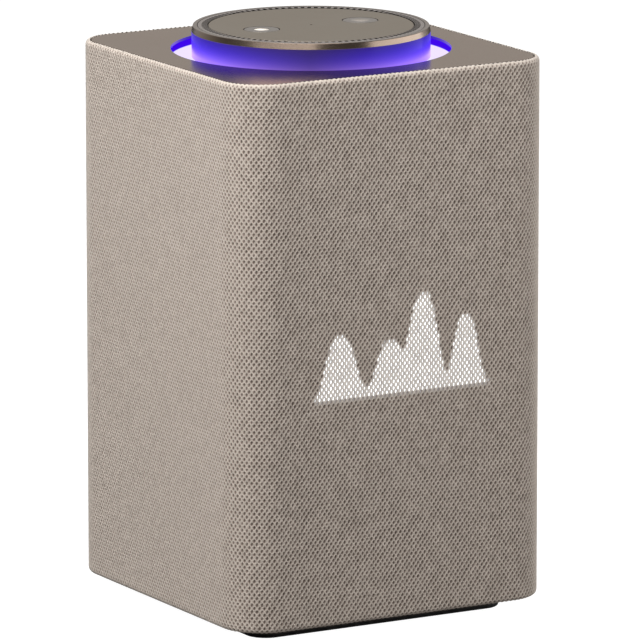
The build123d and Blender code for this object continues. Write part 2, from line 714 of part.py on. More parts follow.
def display_screws():
    screws = []
    for x, z in display_screw_places():
        shank = Pos(x, -DISPLAY_BOARD_FACE + 0.95, z) * Rot(90, 0, 0) * Cylinder(0.8, 1.9)
        head = Pos(x, -DISPLAY_BOARD_FACE - 0.35, z) * Rot(90, 0, 0) * Cylinder(1.3, 0.7)
        screws.append(shank + head)
    return screws


def display_leds():
    y = -DISPLAY_BOARD_FACE - DISPLAY_LED[1] / 2
    return [Pos(x, y, z) * Box(*DISPLAY_LED) for x, z in display_places()]


def display_diffuser():
    face = GRILLE_INNER - 0.1
    return block((-DISPLAY_BOARD_HALF, -face, DISPLAY_BOARD_LOW),
                 (DISPLAY_BOARD_HALF, DISPLAY_FILM - face, DISPLAY_BOARD_HIGH))


# Drivers, built about local Z with the wall's outer face at 0 and outwards positive ---
def driver_basket(size):
    """The metal chassis: front flange, sleeve, windowed cage and back ring."""
    inner = size["cone"] + size["roll"] * 0.9
    outer = inner + 2 * size["roll"] * 0.55
    flange = size["flange"]
    depth = size["depth"]
    coil = size["coil"]
    back = coil * 1.85
    shell = turned([(inner, FLANGE_THICK), (flange, FLANGE_THICK), (flange, 0), (outer, 0),
                    (outer, -depth * 0.45), (back + 1.4, -depth * 0.92), (back + 1.4, -depth),
                    (coil + 0.4, -depth), (coil + 0.4, -depth * 0.93), (back - 0.2, -depth * 0.93),
                    (inner, -depth * 0.43), (inner, 0)])
    window = Pos((back + outer) / 2, 0, -depth * 0.68) * Box(outer - back + 8, coil, depth * 0.3)
    shell -= [Rot(0, 0, 60 * i) * window for i in range(6)]
    for x, y in round_about(4, driver_screw_circle(size), math.pi / 4):
        shell -= disc(DRIVER_SCREW_SHANK + 0.05, -1, FLANGE_THICK + 1, x, y)
    return shell


def driver_screw_circle(size):
    return size["flange"] - DRIVER_SCREW_INSET


def driver_magnet(size):
    """Front washer, ring magnet and the back plate with its pole."""
    coil = size["coil"]
    depth = size["depth"]
    bore = coil + COIL_GAP
    thick = depth * 0.11
    tall = depth * 0.43
    washer = tube(coil * 1.7, bore, -depth - thick, -depth)
    magnet = tube(coil * 1.85, bore + 0.6, -depth - thick - tall, -depth - thick)
    yoke = disc(coil * 1.7, -depth - 2 * thick - tall, -depth - thick - tall)
    yoke += disc(coil - 1.4, -depth - thick - tall - 0.1, -depth)
    return [washer, magnet, yoke]


def driver_cone(size):
    """The paper cone with its neck."""
    cone = size["cone"]
    coil = size["coil"]
    neck = -size["depth"] * 0.5
    return turned([(coil - COIL_THICK, neck), (coil + COIL_GAP, neck), (cone, 0), (cone, CONE_THICK),
                   (cone - 0.6, CONE_THICK), (coil - COIL_THICK, neck + 1.1)])


def driver_coil(size):
    coil = size["coil"]
    depth = size["depth"]
    return tube(coil, coil - COIL_THICK, -depth * 1.3, -depth * 0.5)


def driver_dust_cap(size):
    rim = size["coil"] - COIL_THICK
    return dome_shell(rim, rim * 0.35, 0.6, -size["depth"] * 0.5 + 1.15)


def surround(cone, roll, foot):
    """A half-roll rubber surround with its glued foot on the flange."""
    middle = cone + 0.5 + roll
    half = Pos(0, 0, FLANGE_THICK) * revolve(
        Plane.XZ * Pos(middle, 0) * (Circle(roll) - Circle(roll - RUBBER_THICK)), Axis.Z)
    half &= tube(middle + roll + 1, cone, FLANGE_THICK, FLANGE_THICK + roll + 1)
    return half + tube(foot, middle + roll - RUBBER_THICK, FLANGE_THICK, FLANGE_THICK + RUBBER_THICK)


def driver_surround(size):
    return surround(size["cone"], size["roll"], size["flange"] - GLUE_LIP)


def small_screw(x, y):
    head = disc(DRIVER_SCREW_HEAD, FLANGE_THICK, FLANGE_THICK + DRIVER_SCREW_HEAD_HEIGHT, x, y)
    return head + disc(DRIVER_SCREW_SHANK, 0.05, FLANGE_THICK, x, y)


def small_screws():
    """The screws of every driver flange and of the display board."""
    screws = display_screws()
    places = [(on_front(0, WOOFER_Z), driver_screw_circle(WOOFER))]
    for side in (-1, 1):
        places.append((mid_place(side), driver_screw_circle(MID)))
        places.append((passive_place(side), PASSIVE_FLANGE - DRIVER_SCREW_INSET))
    for place, circle in places:
        for x, y in round_about(4, circle, math.pi / 4):
            screws.append(place * small_screw(x, y))
    return screws


def passive_frame():
    inner = PASSIVE_DISC + 0.5 + PASSIVE_ROLL
    outer = inner + 1.8
    frame = turned([(inner, FLANGE_THICK), (PASSIVE_FLANGE, FLANGE_THICK), (PASSIVE_FLANGE, 0),
                    (outer, 0), (outer, -PASSIVE_SLEEVE), (inner, -PASSIVE_SLEEVE)])
    for x, y in round_about(4, PASSIVE_FLANGE - DRIVER_SCREW_INSET, math.pi / 4):
        frame -= disc(DRIVER_SCREW_SHANK + 0.05, -1, FLANGE_THICK + 1, x, y)
    return frame


def passive_diaphragm():
    """A stiff disc with a raised ring and a weight behind it."""
    plate = disc(PASSIVE_DISC, -1.0, CONE_THICK)
    plate -= tube(PASSIVE_DISC - 5, PASSIVE_DISC - 14, 0.2, CONE_THICK + 1)
    return plate + disc(PASSIVE_DISC * 0.55, -4.0, -1.0)


def tweeter_frame():
    return turned([(TWEETER_BORE, FLANGE_THICK), (TWEETER_FLANGE, FLANGE_THICK), (TWEETER_FLANGE, 0),
                   (TWEETER_BODY, 0), (TWEETER_BODY, -TWEETER_SLEEVE), (TWEETER_BORE, -TWEETER_SLEEVE)])


def tweeter_magnet():
    return disc(TWEETER_BODY, -TWEETER_DEPTH, -TWEETER_SLEEVE - 0.05)


def tweeter_dome():
    return dome_shell(TWEETER_DOME, 2.2, 0.5, -1.4) + tube(TWEETER_DOME, TWEETER_DOME - 0.6, -3.4, -1.2)


# Electronics and connectors -------------------------------------------------------

def main_board():
    return block((-MAIN_BOARD_HALF, MAIN_BOARD_BACK - BOARD_THICK, MAIN_BOARD_LOW),
                 (MAIN_BOARD_HALF, MAIN_BOARD_BACK, MAIN_BOARD_HIGH))


def board_chips():
    """Processor, memory, amplifier and supply parts on the main board's inner face."""
    face = MAIN_BOARD_BACK - BOARD_THICK
    chips = [block((x - w / 2, face - t, z - h / 2), (x + w / 2, face, z + h / 2)) for x, z, w, h, t in CHIPS]
    can = Rot(90, 0, 0) * Cylinder(CAPACITOR_RADIUS, CAPACITOR_LENGTH)
    for z in CAPACITOR_Z:
        chips.append(Pos(CAPACITOR_X, face - CAPACITOR_LENGTH / 2, z) * can)
    return chips


def heat_sink():
    face = MAIN_BOARD_BACK - BOARD_THICK
    left, low = SINK_LOW
    right, high = SINK_HIGH
    sink = block((left, face - SINK_BASE, low), (right, face, high))
    for i in range(SINK_FINS):
        x = left + 0.5 + SINK_FIN_PITCH * i
        sink += block((x, face - SINK_DEPTH, low), (x + SINK_FIN, face - SINK_BASE + 1, high))
    return sink


def connector_panel():
    half = PANEL_HALF - 0.2
    inside = PANEL_HALF - PANEL_RIM
    panel = block((-half, CABINET_HALF, PANEL_LOW + 0.2), (half, HALF - 0.3, PANEL_HIGH - 0.2))
    panel -= block((-inside, PANEL_FACE, PANEL_LOW + PANEL_RIM), (inside, HALF + 1, PANEL_HIGH - PANEL_RIM))
    return panel - panel_window(SOCKET_X, SOCKET_HALF, 0.0) - panel_window(PORT_X, PORT_HALF, 0.0)


def lying_slot(width, height, low, high, x):
    """A slot-ended bar along Y, centred at a place on the connector panel."""
    place = Plane(origin=(x, low, PANEL_MIDDLE), x_dir=(1, 0, 0), z_dir=(0, 1, 0))
    return extrude(place * SlotOverall(width, height), amount=high - low)


def power_socket():
    """A two-pole mains inlet with its pins."""
    wide, tall = SOCKET_HALF
    case = block((SOCKET_X - wide, SOCKET_BACK, PANEL_MIDDLE - tall),
                 (SOCKET_X + wide, PANEL_FACE, PANEL_MIDDLE + tall))
    case -= lying_slot(*SOCKET_HOLE, SOCKET_HOLE_BACK, PANEL_FACE + 1, SOCKET_X)
    pin = Rot(90, 0, 0) * Cylinder(SOCKET_PIN_RADIUS, SOCKET_PIN_LENGTH)
    pin_y = SOCKET_HOLE_BACK - 1 + SOCKET_PIN_LENGTH / 2
    for side in (-1, 1):
        case += Pos(SOCKET_X + SOCKET_PIN_APART * side, pin_y, PANEL_MIDDLE) * pin
    return case


def service_port():
    """A small round-ended data port with its tongue."""
    case = lying_slot(*PORT_SHELL, PORT_BACK, PANEL_FACE, PORT_X)
    case -= lying_slot(*PORT_HOLE, PORT_HOLE_BACK, PANEL_FACE + 1, PORT_X)
    wide, tall = PORT_TONGUE_HALF
    return case + block((PORT_X - wide, PORT_HOLE_BACK - 0.5, PANEL_MIDDLE - tall),
                        (PORT_X + wide, PORT_TONGUE_REACH, PANEL_MIDDLE + tall))


def pair(place, solid):
    """The same piece on both sides of the speaker."""
    return [place(side) * solid for side in (-1, 1)]


def main():
    os.makedirs("parts", exist_ok=True)
    woofer_place = on_front(0, WOOFER_Z)
    fixed = [foot_pad, base_plate, base_screws, cabinet_shell, cabinet_gasket, cabinet_lid, lid_screws,
             grille_frame, fabric_sleeve, well_housing, top_plate, light_diffuser, ring_led_board, ring_leds,
             dial_hub, thrust_washer, glide_ring, retainer_ring, dial_carrier, volume_ring, trim_ring,
             centre_cap, mute_button, mute_lens, action_button, control_board, tact_switches, microphones,
             encoder_body, encoder_pinion, display_board, display_leds, display_diffuser,
             small_screws, main_board, board_chips, heat_sink, connector_panel, power_socket, service_port]
    for make in fixed:
        write(make.__name__, make())
    write("mute_spring", button_spring(-BUTTON_OFFSET))
    write("action_spring", button_spring(BUTTON_OFFSET))
    write("woofer_basket", woofer_place * driver_basket(WOOFER))
    write("woofer_magnet", [woofer_place * solid for solid in driver_magnet(WOOFER)])
    write("woofer_surround", woofer_place * driver_surround(WOOFER))
    write("woofer_cone", woofer_place * driver_cone(WOOFER))
    write("woofer_voice_coil", woofer_place * driver_coil(WOOFER))
    write("woofer_dust_cap", woofer_place * driver_dust_cap(WOOFER))
    write("mid_baskets", pair(mid_place, driver_basket(MID)))
    upper_magnets = [solid for magnet in driver_magnet(MID) for solid in pair(mid_place, magnet)]
    write("upper_magnets", upper_magnets + pair(tweeter_place, tweeter_magnet()))
    write("mid_surrounds", pair(mid_place, driver_surround(MID)))
    write("passive_frames", pair(passive_place, passive_frame()))
    passive_surround = surround(PASSIVE_DISC, PASSIVE_ROLL, PASSIVE_FLANGE - GLUE_LIP)
    write("passive_surrounds", pair(passive_place, passive_surround))
    write("tweeter_frames", pair(tweeter_place, tweeter_frame()))
    for side, word in ((-1, "left"), (1, "right")):
        cone = mid_place(side) * (driver_cone(MID) + driver_coil(MID))
        write("mid_cone_" + word, cone)
        write("tweeter_dome_" + word, tweeter_place(side) * tweeter_dome())
        write("passive_diaphragm_" + word, passive_place(side) * passive_diaphragm())


main()
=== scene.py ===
"""The looks of the smart speaker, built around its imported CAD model."""

import math

import bpy
import numpy as np
from mathutils import Matrix, Vector


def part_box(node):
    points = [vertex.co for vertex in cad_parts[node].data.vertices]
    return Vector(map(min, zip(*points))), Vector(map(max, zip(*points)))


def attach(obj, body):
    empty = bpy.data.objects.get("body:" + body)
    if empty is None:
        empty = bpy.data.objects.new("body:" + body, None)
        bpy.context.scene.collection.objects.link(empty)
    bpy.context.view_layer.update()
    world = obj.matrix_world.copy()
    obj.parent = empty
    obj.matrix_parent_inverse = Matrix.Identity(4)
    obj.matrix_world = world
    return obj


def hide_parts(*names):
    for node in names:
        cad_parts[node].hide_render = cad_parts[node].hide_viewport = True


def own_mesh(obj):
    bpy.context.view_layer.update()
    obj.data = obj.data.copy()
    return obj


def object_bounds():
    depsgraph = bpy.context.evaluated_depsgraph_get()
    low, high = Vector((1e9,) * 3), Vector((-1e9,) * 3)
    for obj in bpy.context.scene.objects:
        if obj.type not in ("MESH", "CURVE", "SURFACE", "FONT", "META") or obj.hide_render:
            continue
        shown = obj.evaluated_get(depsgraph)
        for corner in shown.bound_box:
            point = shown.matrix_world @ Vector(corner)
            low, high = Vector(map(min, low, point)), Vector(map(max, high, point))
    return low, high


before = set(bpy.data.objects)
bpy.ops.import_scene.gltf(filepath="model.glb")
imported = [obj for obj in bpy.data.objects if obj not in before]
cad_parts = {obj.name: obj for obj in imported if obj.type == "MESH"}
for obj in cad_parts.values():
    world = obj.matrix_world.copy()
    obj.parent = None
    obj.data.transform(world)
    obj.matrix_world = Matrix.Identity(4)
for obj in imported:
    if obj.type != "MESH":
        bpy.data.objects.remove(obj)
cad_low, cad_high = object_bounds()

MM = 0.001
shuffle = np.random.default_rng(7)

# The cloth: an open knit of staggered eyelets, in one length round the four sides
CLOTH_LOW, CLOTH_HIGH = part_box("fabric_sleeve")
HALF = CLOTH_HIGH.x
CORNER = 17.9 * MM
ROLL = 1.9 * MM
LIP = 0.8 * MM
CLOTH_ROUND = 8 * (HALF - CORNER) + 2 * math.pi * CORNER
CLOTH_LENGTH = 2 * LIP + math.pi * ROLL + CLOTH_HIGH.z - CLOTH_LOW.z - 2 * ROLL
SIDES = ("left", "front", "right", "back")
EYELETS_ROUND = 264
ROW_HEIGHT = 2.70 * MM
EYELET_ROWS = round(CLOTH_LENGTH / ROW_HEIGHT)
EYELET_PITCH = CLOTH_ROUND / EYELETS_ROUND
EYELET_HEIGHT = CLOTH_LENGTH / EYELET_ROWS
EYELET_DEPTH = 0.50 * MM
EYELET_SLANT = 0.14
# Points of the yarn's ridge count as one where they round to the same step
RIDGE_STEP = EYELET_HEIGHT / 12
# The yarn round an eyelet is a hexagon that meets its neighbours'; the opening in it is a smaller one
RIDGE_POINT = (EYELET_PITCH ** 2 + EYELET_HEIGHT ** 2) / (4 * EYELET_HEIGHT)
RIDGE_SHOULDER = (EYELET_HEIGHT ** 2 - EYELET_PITCH ** 2) / (4 * EYELET_HEIGHT)
OPENING_MID = 0.215 * MM
OPENING_SHOULDER = 0.30 * MM
OPENING_POINT = 0.68 * MM
# How unevenly the eyelets are drawn: by chance, and together in slubs along the yarn, which are
# waves in radians a metre round and up the cloth, with their phase
WIDTH_CHANCE, HEIGHT_CHANCE, DEPTH_CHANCE = 0.13, 0.09, 0.08
WIDTH_SLUB, HEIGHT_SLUB = 0.22, 0.12
YARN_SLUBS = ((310, 190, 0.4), (-170, 420, 1.9), (620, -260, 4.0), (90, 730, 2.6), (-830, 540, 0.8))
# How far the eyelets close where the cloth rolls over its top and bottom edges
ROLL_CLOSING = 0.75
YARN_DARK = (0.40, 0.345, 0.30)
YARN_LIGHT = (0.60, 0.53, 0.46)
YARN_DEEP = (0.43, 0.375, 0.325)
YARN_PALE = (0.57, 0.50, 0.44)
YARN_SHADOW = (0.25, 0.195, 0.165)
# The share of an eyelet's depth where its shadow starts, and how much the stitches show in the yarn
YARN_SHADOW_FROM = 0.3
YARN_STITCH_SHARE = (0.4, 0.6)
# The sheet closing each eyelet: the dark frame behind the cloth, in painted shade
EYELET_SHADE_DARK = (0.10, 0.078, 0.064)
EYELET_SHADE_LIGHT = (0.17, 0.133, 0.112)
HEM_RADIUS = 0.75 * MM
HEM_REACH = 0.6 * MM
HEM_CORNER = 1.5 * MM
HEM_STEPS = 6

# The point display behind the front cloth: the peaks of its graph, in millimetres from the
# middle of its base line, as centre, height and the widths of the left and right slopes
DISPLAY_Z = 95.2 * MM
DISPLAY_ENDS = (-38.3 * MM, 40.1 * MM)
PEAKS = (
    (-27.0, 25.3, 8.2, 8.15),
    (-4.8, 20.9, 7.4, 7.15),
    (10.5, 38.6, 8.9, 7.9),
    (29.5, 28.4, 6.7, 6.85),
    (1.0, 4.6, 34.0, 34.0),
)
PEAK_SHARPNESS = 3.0
SOFT_EDGE = 1.1 * MM
HALO = 3.2 * MM
DISPLAY_REACH_BACK = 2 * MM
DISPLAY_COLOUR = (0.96, 0.98, 1.0)
# Painted display light: its strength on the eyelet floors, and fainter on the yarn round them
EYELET_PAINTED_LIGHT_POWER = 1.9
YARN_PAINTED_LIGHT_POWER = 0.17

# Metals and the lit well; the skirt is the side of the ring below its bronze band, with the well's light
# painted on it
PLATE_COLOUR = (0.27, 0.22, 0.185)
PLATE_TINT = (1.0, 0.92, 0.86, 1)
CAP_COLOUR = (0.27, 0.232, 0.19)
CAP_TINT = (1.0, 0.96, 0.90, 1)
# Painted shade for the upright faces of the metals, as the dark sides of gaps
WALL_SHADE_COLOUR = (0.012, 0.009, 0.008)
RING_COLOUR = (0.32, 0.25, 0.20)
RING_DARK = (0.25, 0.185, 0.145)
RING_BAND = 2.3 * MM
TRIM_COLOUR = (0.42, 0.36, 0.33)
BUTTON_COLOUR = (0.36, 0.32, 0.29)
# The action button's dish: its metal painted paler as a highlight, its radius, and the share of it that is
# fully pale
DISH_PAINTED_HIGHLIGHT = (0.85, 0.77, 0.70)
DISH_RADIUS = 4.2 * MM
DISH_MIDDLE = 0.3
LENS_COLOUR = (1.0, 0.93, 0.83)
LENS_DARK = (0.34, 0.30, 0.26)
LENS_LIGHT = (0.42, 0.38, 0.33)
# In shares of the lens's radius: how far left its lamp is, and where its light starts and stops fading
LENS_LAMP_LEFT = 0.25
LENS_FADE = (0.35, 1.2)
LENS_POWER = (0.72, 0.12)
SKIRT_COLOUR = (0.03, 0.02, 0.03)
SKIRT_FOOT = 2.0 * MM
# The line across the ring where the skirt's painted light is dimmest, a painted shade, as an angle from the
# part's front. It is fixed to the ring and lies towards the photo's viewpoint, where the photo shows the
# skirt darkest
SKIRT_PAINTED_SHADE_ANGLE = math.radians(-29.907)
SKIRT_PAINTED_SHADE_CURVE = 0.6
SKIRT_PAINTED_LIGHT_CURVE = 2.5
# Painted light on the skirt: its colours from deep to pale, and how bright it is away from the dim line and
# towards the foot
SKIRT_PAINTED_LIGHT_DEEP = (0.03, 0.003, 1.0)
SKIRT_PAINTED_LIGHT_PALE = (0.31, 0.16, 1.0)
SKIRT_PAINTED_EDGE_LIGHT = (0.20, 1.0)
SKIRT_PAINTED_FALL_LIGHT = (0.5, 1.6)
BAND_EDGE = 0.1 * MM
WELL_RADIUS = 55.5 * MM
WELL_FLOOR_DEPTH = 2.75 * MM
WELL_FLOOR_CURVE = 0.25 * MM
WELL_BODY = (0.02, 0.004, 0.05)
WELL_FLOOR = (0.86, 0.77, 1.0)
WELL_FLOOR_DIM = (0.78, 0.66, 1.0)
WELL_WALL = (0.035, 0.0, 0.78)
WELL_FLOOR_POWER = 1.02
WELL_WALL_POWER = 1.0
WELL_EVENNESS = (0.96, 1.0)
# Painted light on the plate's cut edge round the well, and where that edge starts and ends
PLATE_EDGE_PAINTED_LIGHT = 0.6
PLATE_EDGE_FROM = 0.03 * MM
PLATE_EDGE_TO = 0.05 * MM

# Surface marks: each noise is a scale and a detail, each bump a strength and a depth
NOISE_SPAN = (0.3, 0.7)
# The rise of a normal, from where a face counts as upright and takes the painted shade to where it counts as
# level
WALL_SHADE_RISE = (0.35, 0.75)
PLASTIC_CLOUD, PLASTIC_MOTTLE, PLASTIC_GRAIN = (60, 3), (900, 2), (5200, 2)
PLASTIC_GRAIN_DEPTH = 0.04 * MM
PLASTIC_SPREAD = 0.07
TURNED_RINGS, TURNED_CLOUD = (9000, 3), (45, 3)
TURNED_ROUGHNESS = (0.85, 1.2)
TURNED_BUMP = (0.3, 0.006 * MM)
BAND_RINGS, BAND_STRETCH = (2500, 3), (0.02, 0.02, 1)
BAND_BUMP = (0.2, 0.006 * MM)
SATIN_FLECK, SATIN_CLOUD = (14000, 2), (25, 3)
SATIN_ROUGHNESS = (0.93, 1.08)
SATIN_BUMP = (0.02, 0.004 * MM)
RUBBER_BLOOM, RUBBER_PITS = (120, 4), (2600, 3)
RUBBER_SPREAD = (-0.1, 0.08)
RUBBER_BUMP = (0.3, 0.05 * MM)
BOARD_RUN_SCALE, BOARD_RUN_WIDTH = 260, 0.06
BOARD_DOT_SCALE, BOARD_DOT_RADIUS = 380, 0.16
BOARD_DARK, BOARD_GREEN, BOARD_GOLD = (0.012, 0.10, 0.045), (0.03, 0.20, 0.09), (0.75, 0.62, 0.35)
BOARD_BUMP = (0.3, 0.03 * MM)
STEEL_STAINS, STEEL_LINES, STEEL_STRETCH = (90, 4), (1500, 3), (1, 1, 9)
STEEL_SPREAD = (-0.08, 0.12)
STEEL_BUMP = (0.15, 0.02 * MM)
COIL_SCALE = 1100
COPPER_DARK, COPPER_LIGHT = (0.38, 0.15, 0.07), (0.85, 0.45, 0.26)
COIL_BUMP = (0.6, 0.08 * MM)
PAPER_FIBRES = (700, 6)
PAPER_DARK, PAPER_LIGHT = (0.012, 0.012, 0.013), (0.05, 0.05, 0.055)
PAPER_ROUGHNESS = (0.5, 0.72)
PAPER_BUMP = (0.5, 0.1 * MM)
LAMP_BODY = (0.8, 0.8, 0.85)
LAMP_CLOUD, LAMP_PITS = (110, 2), (1200, 2)
LAMP_BUMP = (0.05, 0.03 * MM)
LENS_MOTTLE = (900, 2)
WELL_CLOUD = (70, 2)
YARN_FIBRES, YARN_STRETCH = (4200, 3), (1, 1, 0.35)
YARN_STITCHES, YARN_CLOUD = (520, 2), (22, 3)
STITCH_SPAN = (0.35, 0.65)
YARN_BUMP = (0.35, 0.12 * MM)
FRAME_MOTTLE = (700, 2)

# The button springs
SPRING_WIRE = 0.3 * MM
SPRING_TURNS = 6.5
SPRING_STEPS = 28
SPRING_SIDES = 10
# The height of a closed end coil, in radii of the wire
SPRING_CLOSED = 2.1

# Camera, world and softboxes
AZIMUTH = math.radians(-29.907)
ELEVATION = math.radians(11.495)
DISTANCE = 3.070
LENS = 434.2
SENSOR = 36
TARGET_HEIGHT = 0.498
AIM_RIGHT = 3.52 * MM
AIM_UP = -3.04 * MM
CAMERA_CLIP = 50
WORLD_FRONT = 0.10
WORLD_BACK = 0.52
WORLD_SEEN = 1.05
WORLD_COLOUR = (1, 0.985, 0.96, 1)
# How far rearward the world turns from dim to bright, as the cosine with straight back
WORLD_TURN = (-0.1, 0.8)
FLOOR_COLOUR = (0.20, 0.195, 0.19)
FLOOR_ROUGHNESS = 0.9
FLOOR_REACH = 4.0
FLOOR_GAP = 0.1 * MM
LIGHT_AIM_HEIGHT = 0.12
# Softboxes: azimuth, elevation, distance, width and height, power
SOFTBOXES = {
    "right": (66, 13, 0.9, (1.3, 0.62), 4.6),
    "right_low": (60, 0, 0.5, (0.3, 0.3), 0.35),
    "key": (-56, 46, 0.9, (1.0, 0.72), 7.2),
    "side": (-80, 46, 2.0, (2.2, 1.5), 26.5),
    "top_near": (-35, 64, 0.6, (0.4, 0.4), 1.2),
}


# Small helpers -----------------------------------------------------------------------
def put(name, data):
    """A new object in the scene that shows a mesh, curve, light or camera."""
    thing = bpy.data.objects.new(name, data)
    bpy.context.scene.collection.objects.link(thing)
    return thing


def shade(colour, share, lift=0.0):
    """A darker or lighter version of a colour."""
    return tuple(min(c * share + lift, 1) for c in colour)


class Paint:
    """A node material under construction, with a Principled shader."""

    def __init__(self, name):
        self.material = bpy.data.materials.new(name)
        self.material.use_nodes = True
        self.tree = self.material.node_tree
        self.shader = self.tree.nodes["Principled BSDF"]

    def add(self, kind, **settings):
        node = self.tree.nodes.new(kind)
        for key, value in settings.items():
            setattr(node, key, value)
        return node

    def wire(self, source, target):
        self.tree.links.new(source, target)

    def set(self, **values):
        for key, value in values.items():
            self.shader.inputs[key.replace("_", " ")].default_value = value
        return self

    def feed(self, key, value):
        """Sets a socket of the shader to a number or colour, or wires another socket to it."""
        socket = self.shader.inputs[key]
        if isinstance(value, tuple):
            socket.default_value = value + (1,)
        elif isinstance(value, (int, float)):
            socket.default_value = value
        else:
            self.wire(value, socket)
        return self

    def colour(self, value):
        return self.feed("Base Color", value)

    def roughness(self, value):
        return self.feed("Roughness", value)

    def glow(self, colour, strength):
        return self.feed("Emission Color", colour).feed("Emission Strength", strength)

    def place(self, stretch=(1, 1, 1)):
        """Object coordinates, stretched."""
        where = self.add("ShaderNodeTexCoord")
        mapping = self.add("ShaderNodeMapping")
        mapping.inputs["Scale"].default_value = stretch
        self.wire(where.outputs["Object"], mapping.inputs["Vector"])
        return mapping.outputs["Vector"]

    def noise(self, scale, detail, stretch=(1, 1, 1), place=None):
        texture = self.add("ShaderNodeTexNoise")
        texture.inputs["Scale"].default_value = scale
        texture.inputs["Detail"].default_value = detail
        self.wire(place or self.place(stretch), texture.inputs["Vector"])
        return texture.outputs["Fac"]

    def mark(self, name):
        """A value that the mesh carries at its points."""
        return self.add("ShaderNodeAttribute", attribute_name=name).outputs["Fac"]

    def remap(self, value, low, high, to_low=0.0, to_high=1.0):
        node = self.add("ShaderNodeMapRange")
        node.inputs["From Min"].default_value = low
        node.inputs["From Max"].default_value = high
        node.inputs["To Min"].default_value = to_low
        node.inputs["To Max"].default_value = to_high
        self.wire(value, node.inputs["Value"])
        return node.outputs["Result"]

    def spread(self, noise, to_low=0.0, to_high=1.0):
        """Stretches a noise, which mostly stays within NOISE_SPAN, over a range."""
        return self.remap(noise, *NOISE_SPAN, to_low, to_high)

    def maths(self, operation, first, second=None):
        node = self.add("ShaderNodeMath", operation=operation)
        for socket, value in zip(node.inputs, (first, second)):
            if isinstance(value, (int, float)):
                socket.default_value = value
            elif value is not None:
                self.wire(value, socket)
        return node.outputs[0]

    def mean(self, first, second):
        """Halfway between two values."""
        return self.maths("MULTIPLY", self.maths("ADD", first, second), 0.5)

    def mix(self, share, first, second):
        """Mixes two colours, given as tuples or sockets."""
        node = self.add("ShaderNodeMix", data_type="RGBA")
        self.wire(share, node.inputs["Factor"])
        for socket, value in ((node.inputs[6], first), (node.inputs[7], second)):
            if isinstance(value, tuple):
                socket.default_value = value + (1,)
            else:
                self.wire(value, socket)
        return node.outputs[2]

    def bump(self, height, strength, depth):
        node = self.add("ShaderNodeBump")
        node.inputs["Strength"].default_value = strength
        node.inputs["Distance"].default_value = depth
        self.wire(height, node.inputs["Height"])
        self.wire(node.outputs["Normal"], self.shader.inputs["Normal"])
        return self

    def split(self, vector):
        node = self.add("ShaderNodeSeparateXYZ")
        self.wire(vector, node.inputs[0])
        return node.outputs

    def join(self, x, y):
        """A vector made of two numbers."""
        node = self.add("ShaderNodeCombineXYZ")
        self.wire(x, node.inputs[0])
        self.wire(y, node.inputs[1])
        return node.outputs[0]

    def paint_wall_shade(self, colour):
        """A colour with painted shade on upright faces, standing in for the dark sides of a narrow gap."""
        rise = self.split(self.add("ShaderNodeNewGeometry").outputs["Normal"])[2]
        return self.mix(self.remap(rise, *WALL_SHADE_RISE), WALL_SHADE_COLOUR, colour)

    def radius(self, centre=(0.0, 0.0)):
        """Distance from an upright axis, in metres."""
        x, y, _ = self.split(self.place())
        across = self.maths("SUBTRACT", x, centre[0])
        along = self.maths("SUBTRACT", y, centre[1])
        squares = [self.maths("MULTIPLY", offset, offset) for offset in (across, along)]
        return self.maths("SQRT", self.maths("ADD", *squares))


def moulded_plastic(name, colour, roughness=0.55, grain=0.25):
    """Injection-moulded plastic with a fine spark-eroded grain."""
    paint = Paint(name).set(Roughness=roughness)
    paint.colour(paint.mix(paint.noise(*PLASTIC_CLOUD), shade(colour, 0.8), shade(colour, 1.2, 0.004)))
    mottle = paint.noise(*PLASTIC_MOTTLE)
    paint.roughness(paint.spread(mottle, roughness - PLASTIC_SPREAD, roughness + PLASTIC_SPREAD))
    return paint.bump(paint.noise(*PLASTIC_GRAIN), grain, PLASTIC_GRAIN_DEPTH).material


def turned_metal(name, colour, roughness, centre=(0.0, 0.0), dish=0.0):
    """Metal turned on a lathe: fine rings round an upright axis, painted shade on its upright faces, and,
    where given, a dish in its middle painted paler as a highlight.
    """
    paint = Paint(name).set(Metallic=1.0, Roughness=roughness)
    radius = paint.radius(centre)
    height = paint.split(paint.place())[2]
    rings = paint.noise(*TURNED_RINGS, place=paint.join(radius, height))
    marks = paint.mean(rings, paint.noise(*TURNED_CLOUD))
    metal = paint.mix(marks, shade(colour, 0.88), shade(colour, 1.1))
    if dish:
        # Paler metal in the dish, a painted highlight
        metal = paint.mix(paint.remap(radius, DISH_MIDDLE * dish, dish), DISH_PAINTED_HIGHLIGHT, metal)
    # Painted shade on the upright faces
    paint.colour(paint.paint_wall_shade(metal))
    paint.roughness(paint.spread(rings, *(roughness * share for share in TURNED_ROUGHNESS)))
    return paint.bump(rings, *TURNED_BUMP).material


